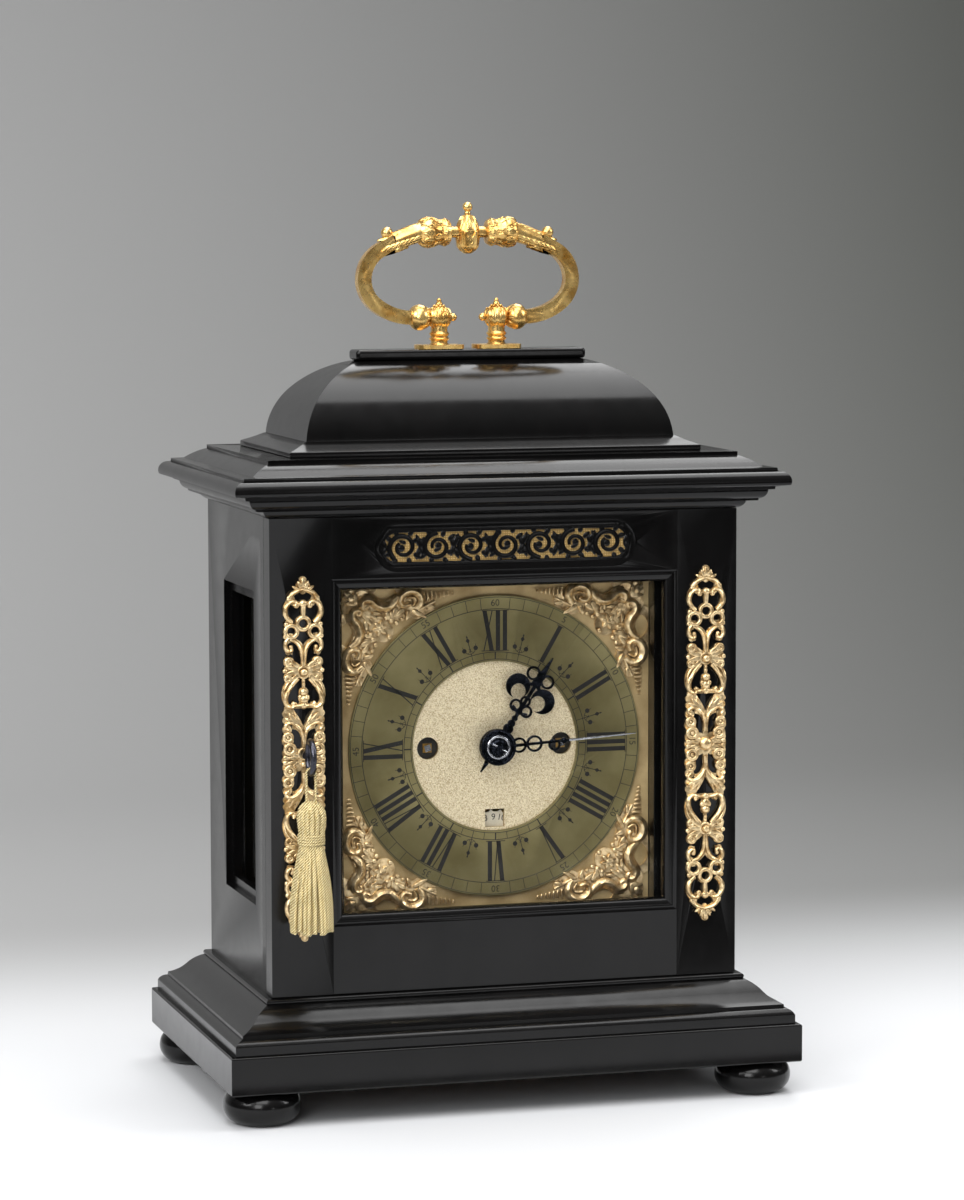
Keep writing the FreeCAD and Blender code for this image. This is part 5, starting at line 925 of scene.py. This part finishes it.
def addTassel():
    chance = random.Random(11)
    strands = []

    def hung(radius, z, turn):
        return Vector((tassel["x"] + radius * math.cos(turn), tassel["y"] + radius * math.sin(turn),
                       z)) * mm

    for layer, inset in ((0, 0.9), (1, 2.7)):
        for number in range(tassel["skirtCords"] - 7 * layer):
            turn = (number + 0.5 * layer) * 2 * math.pi / (tassel["skirtCords"] - 7 * layer)
            turn += chance.uniform(-0.05, 0.05)
            end = tassel["bottom"] + chance.uniform(0.0, 2.6)
            bow, swing = chance.uniform(-0.7, 0.4), chance.uniform(-0.1, 0.1)
            path = []
            for step in range(97):
                share = step / 96
                z = tassel["tied"] + 1.5 + (end - tassel["tied"] - 1.5) * share
                sag = bow * math.sin(share * math.pi)
                path.append(hung(skirtRadius(min(z, tassel["tied"])) - inset + sag, z,
                                 turn + swing * share))
            side = Vector((-math.sin(turn), math.cos(turn), 0))
            strands += twisted(path, side, 0.66, 0.58, 2.5, chance.uniform(0, 6))
    for number in range(tassel["headCords"]):
        turn = number * 2 * math.pi / tassel["headCords"] + chance.uniform(-0.08, 0.08)
        full = chance.uniform(-0.5, 0.4)
        path = []
        for step in range(49):
            share = step / 48
            swell = math.sin(min(1.0, share * 1.7) * math.pi / 2) * (1 - 0.22 * max(0.0, share - 0.6) / 0.4)
            fall = (tassel["neck"] - 1.2 - tassel["top"]) * (1 - math.cos(share * math.pi / 2)) ** 0.9
            path.append(hung(1.2 + (tassel["headRadius"] + full - 2.3) * swell,
                             tassel["top"] - 0.8 + fall, turn))
        side = Vector((-math.sin(turn), math.cos(turn), 0))
        strands += twisted(path, side, 0.82, 0.68, 2.9, chance.uniform(0, 6))
    for turnNumber in range(4):
        z = tassel["neck"] - 0.9 - 1.25 * turnNumber
        ringPath = [hung(6.0, z + chance.uniform(-0.04, 0.04), step * math.pi / 40) for step in range(81)]
        strands += twisted(ringPath, Vector((0, 0, 1)), 0.45, 0.36, 1.9, turnNumber)
    loopPath = [Vector((tassel["x"] + 2.25 * math.cos(step), tassel["y"],
                        tassel["limb"] + 2.25 * math.sin(step))) * mm
                for step in [math.pi * part / 14 for part in range(15)]]
    start = [loopPath[0] + Vector((0, 0, -drop * mm)) for drop in [0.5 * part for part in range(30, 0, -1)]]
    end = [loopPath[-1] + Vector((0, 0, -drop * mm)) for drop in [0.5 * part for part in range(1, 31)]]
    strands += twisted(start + loopPath + end, Vector((0, 1, 0)), 0.42, 0.34, 1.7)
    cords = strandMesh(strands, "POLY", 1)
    heights = (154.6, 152.0, 148.0, 144.0, 141.0, 136.0, 128.0, 112.0, 100.0, 95.4, 95.0)
    core = sweep([Vector((tassel["x"], tassel["y"], z)) * mm for z in heights],
                 (1.5, 3.8, 4.6, 4.4, 4.0, 4.0, 5.4, 6.9, 7.2, 7.0, 1.0), 3)
    whole = finished(joinAll([cords, core], "hangingTassel"), thread, bodyOf["key_tassel"], 70)
    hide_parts("key_tassel")


# ---- chased leaves on the handle ----

def petal(place, low, high, middle, half, lift=0.5, teeth=0, rows=12):
    # a leaf laid on a turned body: place gives the point and the outward direction at (along, turn)
    points, faces, columns = [], [], 9
    for row in range(rows + 1):
        share = row / rows
        wide = half * math.sin(math.pi * min(1.0, 0.14 + 0.86 * share) ** 0.8) ** 0.8
        wide *= 1 + 0.16 * math.cos(2 * math.pi * teeth * share) if teeth else 1
        for column in range(columns):
            across = 2 * column / (columns - 1) - 1
            point, out = place(low + (high - low) * share, middle + across * wide)
            vein = 0.55 + 0.45 * abs(math.sin(across * math.pi * 1.25 + (0.9 * share if teeth else 0)))
            edge = column in (0, columns - 1) or row in (0, rows)
            height = -0.25 if edge else lift * vein * (0.55 + 0.6 * share)
            points.append((point + out * height) * mm)
    for row in range(rows):
        for column in range(columns - 1):
            first = row * columns + column
            faces.append((first, first + 1, first + columns + 1, first + columns))
    mesh = bpy.data.meshes.new("petal")
    mesh.from_pydata(points, [], faces)
    piece = bpy.data.objects.new("petal", mesh)
    bpy.context.collection.objects.link(piece)
    return piece


def onBall(centre, radius, axis, across):
    # along is measured from the axis' foot in turns of half a circle
    other = axis.cross(across)

    def place(along, turn):
        spread = math.sin(along * math.pi)
        out = (across * math.cos(turn) + other * math.sin(turn)) * spread - axis * math.cos(along * math.pi)
        return centre + out * radius, out
    return place


def onTurned(centre, axis, across, profile):
    other = axis.cross(across)

    def place(along, turn):
        radius = profile[-1][1]
        for (a, first), (b, second) in zip(profile, profile[1:]):
            if a <= along <= b:
                radius = first + (second - first) * (along - a) / (b - a)
                break
        out = across * math.cos(turn) + other * math.sin(turn)
        return centre + axis * along + out * radius, out
    return place


handleSettings = {"pivot": 385.2, "bar": 427.5, "post": 14.9, "ball": 5.8, "collar": 24.2,
                  "collarRadius": 5.4}


def addPostLeaves():
    up, forward, pieces = Vector((0, 0, 1)), Vector((0, -1, 0)), []
    for side in (-1, 1):
        centre = Vector((side * handleSettings["post"], 0, handleSettings["pivot"]))
        place = onBall(centre, handleSettings["ball"], up, forward)
        for number in range(6):
            turn = number * math.pi / 3 + 0.35
            pieces.append(petal(place, 0.14, 0.8, turn, 0.46, 0.9, 3))
            pieces.append(petal(place, 0.3, 0.87, turn + math.pi / 6, 0.36, 0.5, 3))
        for number in range(8):
            turn = number * math.pi / 4
            pieces.append(bead((centre + Vector((2.5 * math.cos(turn), 2.5 * math.sin(turn), 5.6))) * mm,
                               0.75, 1))
        for row, (height, radius) in enumerate(((-15.2, 5.6), (-15.4, 7.4))):
            for number in range(9 + 5 * row):
                # scalloped edge of the thin flange
                turn = number * 2 * math.pi / (9 + 5 * row)
                spot = centre + Vector((radius * 1.25 * math.cos(turn), 0.82 * radius * math.sin(turn),
                                        height + 0.4))
                pieces.append(bead(spot * mm, 1.25, 1))
                pieces[-1].scale = (1.1, 0.5, 1)
    finished(joinAll(pieces, "postLeaves"), handleGilt, bodyOf["handle_posts"], 55)


def addHandleLeaves():
    up, forward, pieces = Vector((0, 0, 1)), Vector((0, -1, 0)), []
    bar = Vector((0, 0, handleSettings["bar"]))
    urn = onTurned(bar, up, forward,
                   [(-10.6, 1.0), (-9.4, 3.4), (-7.4, 4.9), (-2, 5.5), (0, 5.8), (2.4, 5.4), (5, 4.4),
                                      (8.6, 2.4)])
    for number in range(6):
        turn = number * math.pi / 3 + 0.5
        pieces.append(petal(urn, -10.2, 1.2, turn, 0.5, 0.85, 3))
        pieces.append(petal(urn, 0.4, 8.4, turn + 0.5, 0.4, 0.75, 2))
    for side in (-1, 1):
        along = Vector((side, 0, 0))
        collar = onBall(Vector((side * handleSettings["collar"], 0, handleSettings["pivot"])),
                        handleSettings["collarRadius"], along, forward)
        for number in range(8):
            pieces.append(petal(collar, 0.2, 0.82, number * math.pi / 4, 0.34, 0.8, 2))
        capital = onTurned(bar, along, forward,
                           [(9.2, 2.8), (9.6, 5.6), (12, 6.8), (14.5, 5.8), (17, 6.6), (20.5, 7.4),
                                                 (23.5, 6.6), (25.2, 5.2), (38, 4.0)])
        for number in range(9):
            turn = number * 2 * math.pi / 9
            pieces.append(petal(capital, 9.4, 14.6, turn, 0.34, 0.5, 2))
            pieces.append(petal(capital, 13.6, 19.4, turn + 0.35, 0.32, 0.75, 2))
            pieces.append(petal(capital, 18.4, 25.4, turn, 0.36, 0.85, 2))
            outward = forward * math.cos(turn + 0.35) + along.cross(forward) * math.sin(turn + 0.35)
            knob = bar + along * 21.0 + outward * 7.3
            pieces.append(bead(knob * mm, 0.8, 1))
        # the arm's leaf: scallops that overlap from the shoulder to the capital
        inner, outer = Vector((side * 25.0, 0, 427.2)), Vector((side * 45.6, 0, 420.0))
        slope = (outer - inner).normalized()
        arm = onTurned(inner, slope, forward, [(0, 5.0), (6, 4.7), (14, 4.4), (22, 3.4)])
        for number in range(7):
            start = 19.6 - 2.7 * number
            for front in (-1, 1):
                lean = 0.0 if front > 0 else math.pi
                rise = -front * side * 0.55
                pieces.append(petal(arm, start - 3.2, start + 2.9, lean - rise, 0.5, 0.75))
            pieces.append(petal(arm, start - 4.0, start + 2.4, -side * math.pi / 2, 0.75, 0.6))
    finished(joinAll(pieces, "handleLeaves"), handleGilt, bodyOf["carrying_handle"], 55)


def leanArms():
    # the necks of the grip bend down into the arms
    for vertex in bpy.data.objects["carrying_handleFinished"].data.vertices:
        across, rise = abs(vertex.co.x) / mm, vertex.co.z / mm - handleSettings["bar"]
        if 25.3 < across < 38.6 and abs(rise) < 5.8:
            vertex.co.z -= 0.36 * (across - 25.2) * mm


leanArms()
addTassel()
addPostLeaves()
addHandleLeaves()
print("tassel and chasing")


# ---- sawn fret, collet and winding squares ----

fretSettings = {"height": 276.3, "front": -67.1, "half": 63.0, "rise": 8.1, "curls": 7, "pitch": 17.4}


def addFret():
    # a sawn scroll of seven curls with leaves between, inside a narrow border
    def place(u, v, lift):
        return Vector((u, fretSettings["front"] - lift, fretSettings["height"] + v)) * mm
    motifs, straight, rise = [], fretSettings["half"] - fretSettings["rise"], fretSettings["rise"]
    for number in range(fretSettings["curls"]):
        middle = fretSettings["pitch"] * (number - (fretSettings["curls"] - 1) / 2)
        hand = 1 if number % 2 else -1
        curl = []
        for step in range(19):
            share = step / 18
            angle = math.pi * (0.5 if number % 3 else 0.7) * hand + hand * share * 1.3 * 2 * math.pi
            radius = 7.0 - 4.6 * share
            curl.append((middle + radius * math.cos(angle) * 1.06, radius * math.sin(angle)))
        motifs.append(("scroll", curl, [1.5 - 0.6 * step / 18 for step in range(19)]))
        motifs.append(("bead", middle + 0.6 * hand, 0.4 * hand, 1.7))
        for angle in (28, 62, 118, 152, 208, 242, 298, 332):
            reach = 5.6 + 0.5 * ((angle + number * 7) % 3)
            motifs.append(("leaf", middle + reach * math.cos(math.radians(angle)),
                           reach * math.sin(math.radians(angle)),
                           90 - angle - 14 * hand, 4.4, 2.5))
        motifs.append(("leaf", middle - 1.4 * hand, -2.0 * hand, 70 * hand, 4.0, 1.9))
        for side in (-1, 1):
            motifs.append(("leaf", middle + side * 8.7, 0.6 * hand, 20 * side, 6.4, 2.7))
            motifs.append(("leaf", middle + side * 8.7, -0.6 * hand, 180 - 20 * side, 6.4, 2.7))
    border = [(-straight, rise), (straight, rise)]
    border += [(straight + rise * math.sin(turn * math.pi / 12),
                rise * math.cos(turn * math.pi / 12)) for turn in range(1, 13)]
    border += [(-straight, -rise)]
    border += [(-straight - rise * math.sin(turn * math.pi / 12),
                -rise * math.cos(turn * math.pi / 12)) for turn in range(1, 13)]
    motifs.append(("scroll", border, [1.1] * len(border)))
    piece = joinAll(ornament(motifs, place, 0.0), "sawnFret")
    lowered(piece, fretSettings["front"], 0.36)
    for vertex in piece.data.vertices:
        # sawn from one thin sheet: nothing passes the opening
        vertex.co.x = max(-63.8 * mm, min(63.8 * mm, vertex.co.x))
        vertex.co.z = max(267.4 * mm, min(285.2 * mm, vertex.co.z))
    finished(piece, wood, "front_door", 40)
    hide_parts("door_fret")


def addCollet():
    centre = Vector((0, -53.6, dial["height"])) * mm
    outer = joinAll([loop(centre, 8.3, 0.85), loop(centre, 6.9, 0.4)], "handBoss")
    finished(outer, blued, bodyOf["minute_hand"], 50)
    inner = joinAll([loop(centre, 5.4, 0.85)], "polishedRing")
    finished(inner, polished, bodyOf["minute_hand"], 50)
    hub = bead(centre, 3.7)
    hub.scale = (1, 1, 0.3)
    finished(joinAll([hub, loop(centre, 3.0, 0.6)], "colletHub"), brass, bodyOf["minute_hand"], 50)
    pin = [centre + Vector((x, -1.5, -0.55 * x)) * mm for x in (-3.4, -1.0, 1.4, 3.8)]
    needle = [dialPoint(86.4, 0, radius, -53.7) for radius in (36.5, 44, 58, 71.5)]
    shine = joinAll([sweep(pin, (0.5, 0.5, 0.4, 0.3)), sweep(needle, (0.6, 0.55, 0.5, 0.2))], "taperPin")
    finished(shine, polished, bodyOf["minute_hand"], 50)


def addWindingHoles():
    # dark discs of painted shade behind the plate, with the filed squares of the winding arbors standing in
    # them
    holeShades, squares = [], []
    for side in (-1, 1):
        centre = Vector((side * dial["holeOffset"], -44.4, dial["height"])) * mm
        holeShade = bead(centre, 5.6)
        holeShade.scale = (1, 1, 0.06)
        holeShades.append(holeShade)
        bpy.ops.mesh.primitive_cone_add(vertices=4, radius1=2.5 * mm, radius2=2.2 * mm, depth=3.2 * mm,
                                        location=centre + Vector((0, -0.6, 0)) * mm,
                                        rotation=(math.pi / 2, 0.5, 0))
        squares.append(bpy.context.object)
    # painted shade: the discs take the black wax colour so that the holes look dark
    finished(joinAll(holeShades, "blackenedCups"), wax, "case", 40)
    finished(joinAll(squares, "windingSquares"), polished, "case", 20)


addFret()
addCollet()
addWindingHoles()
print("fret and collet")
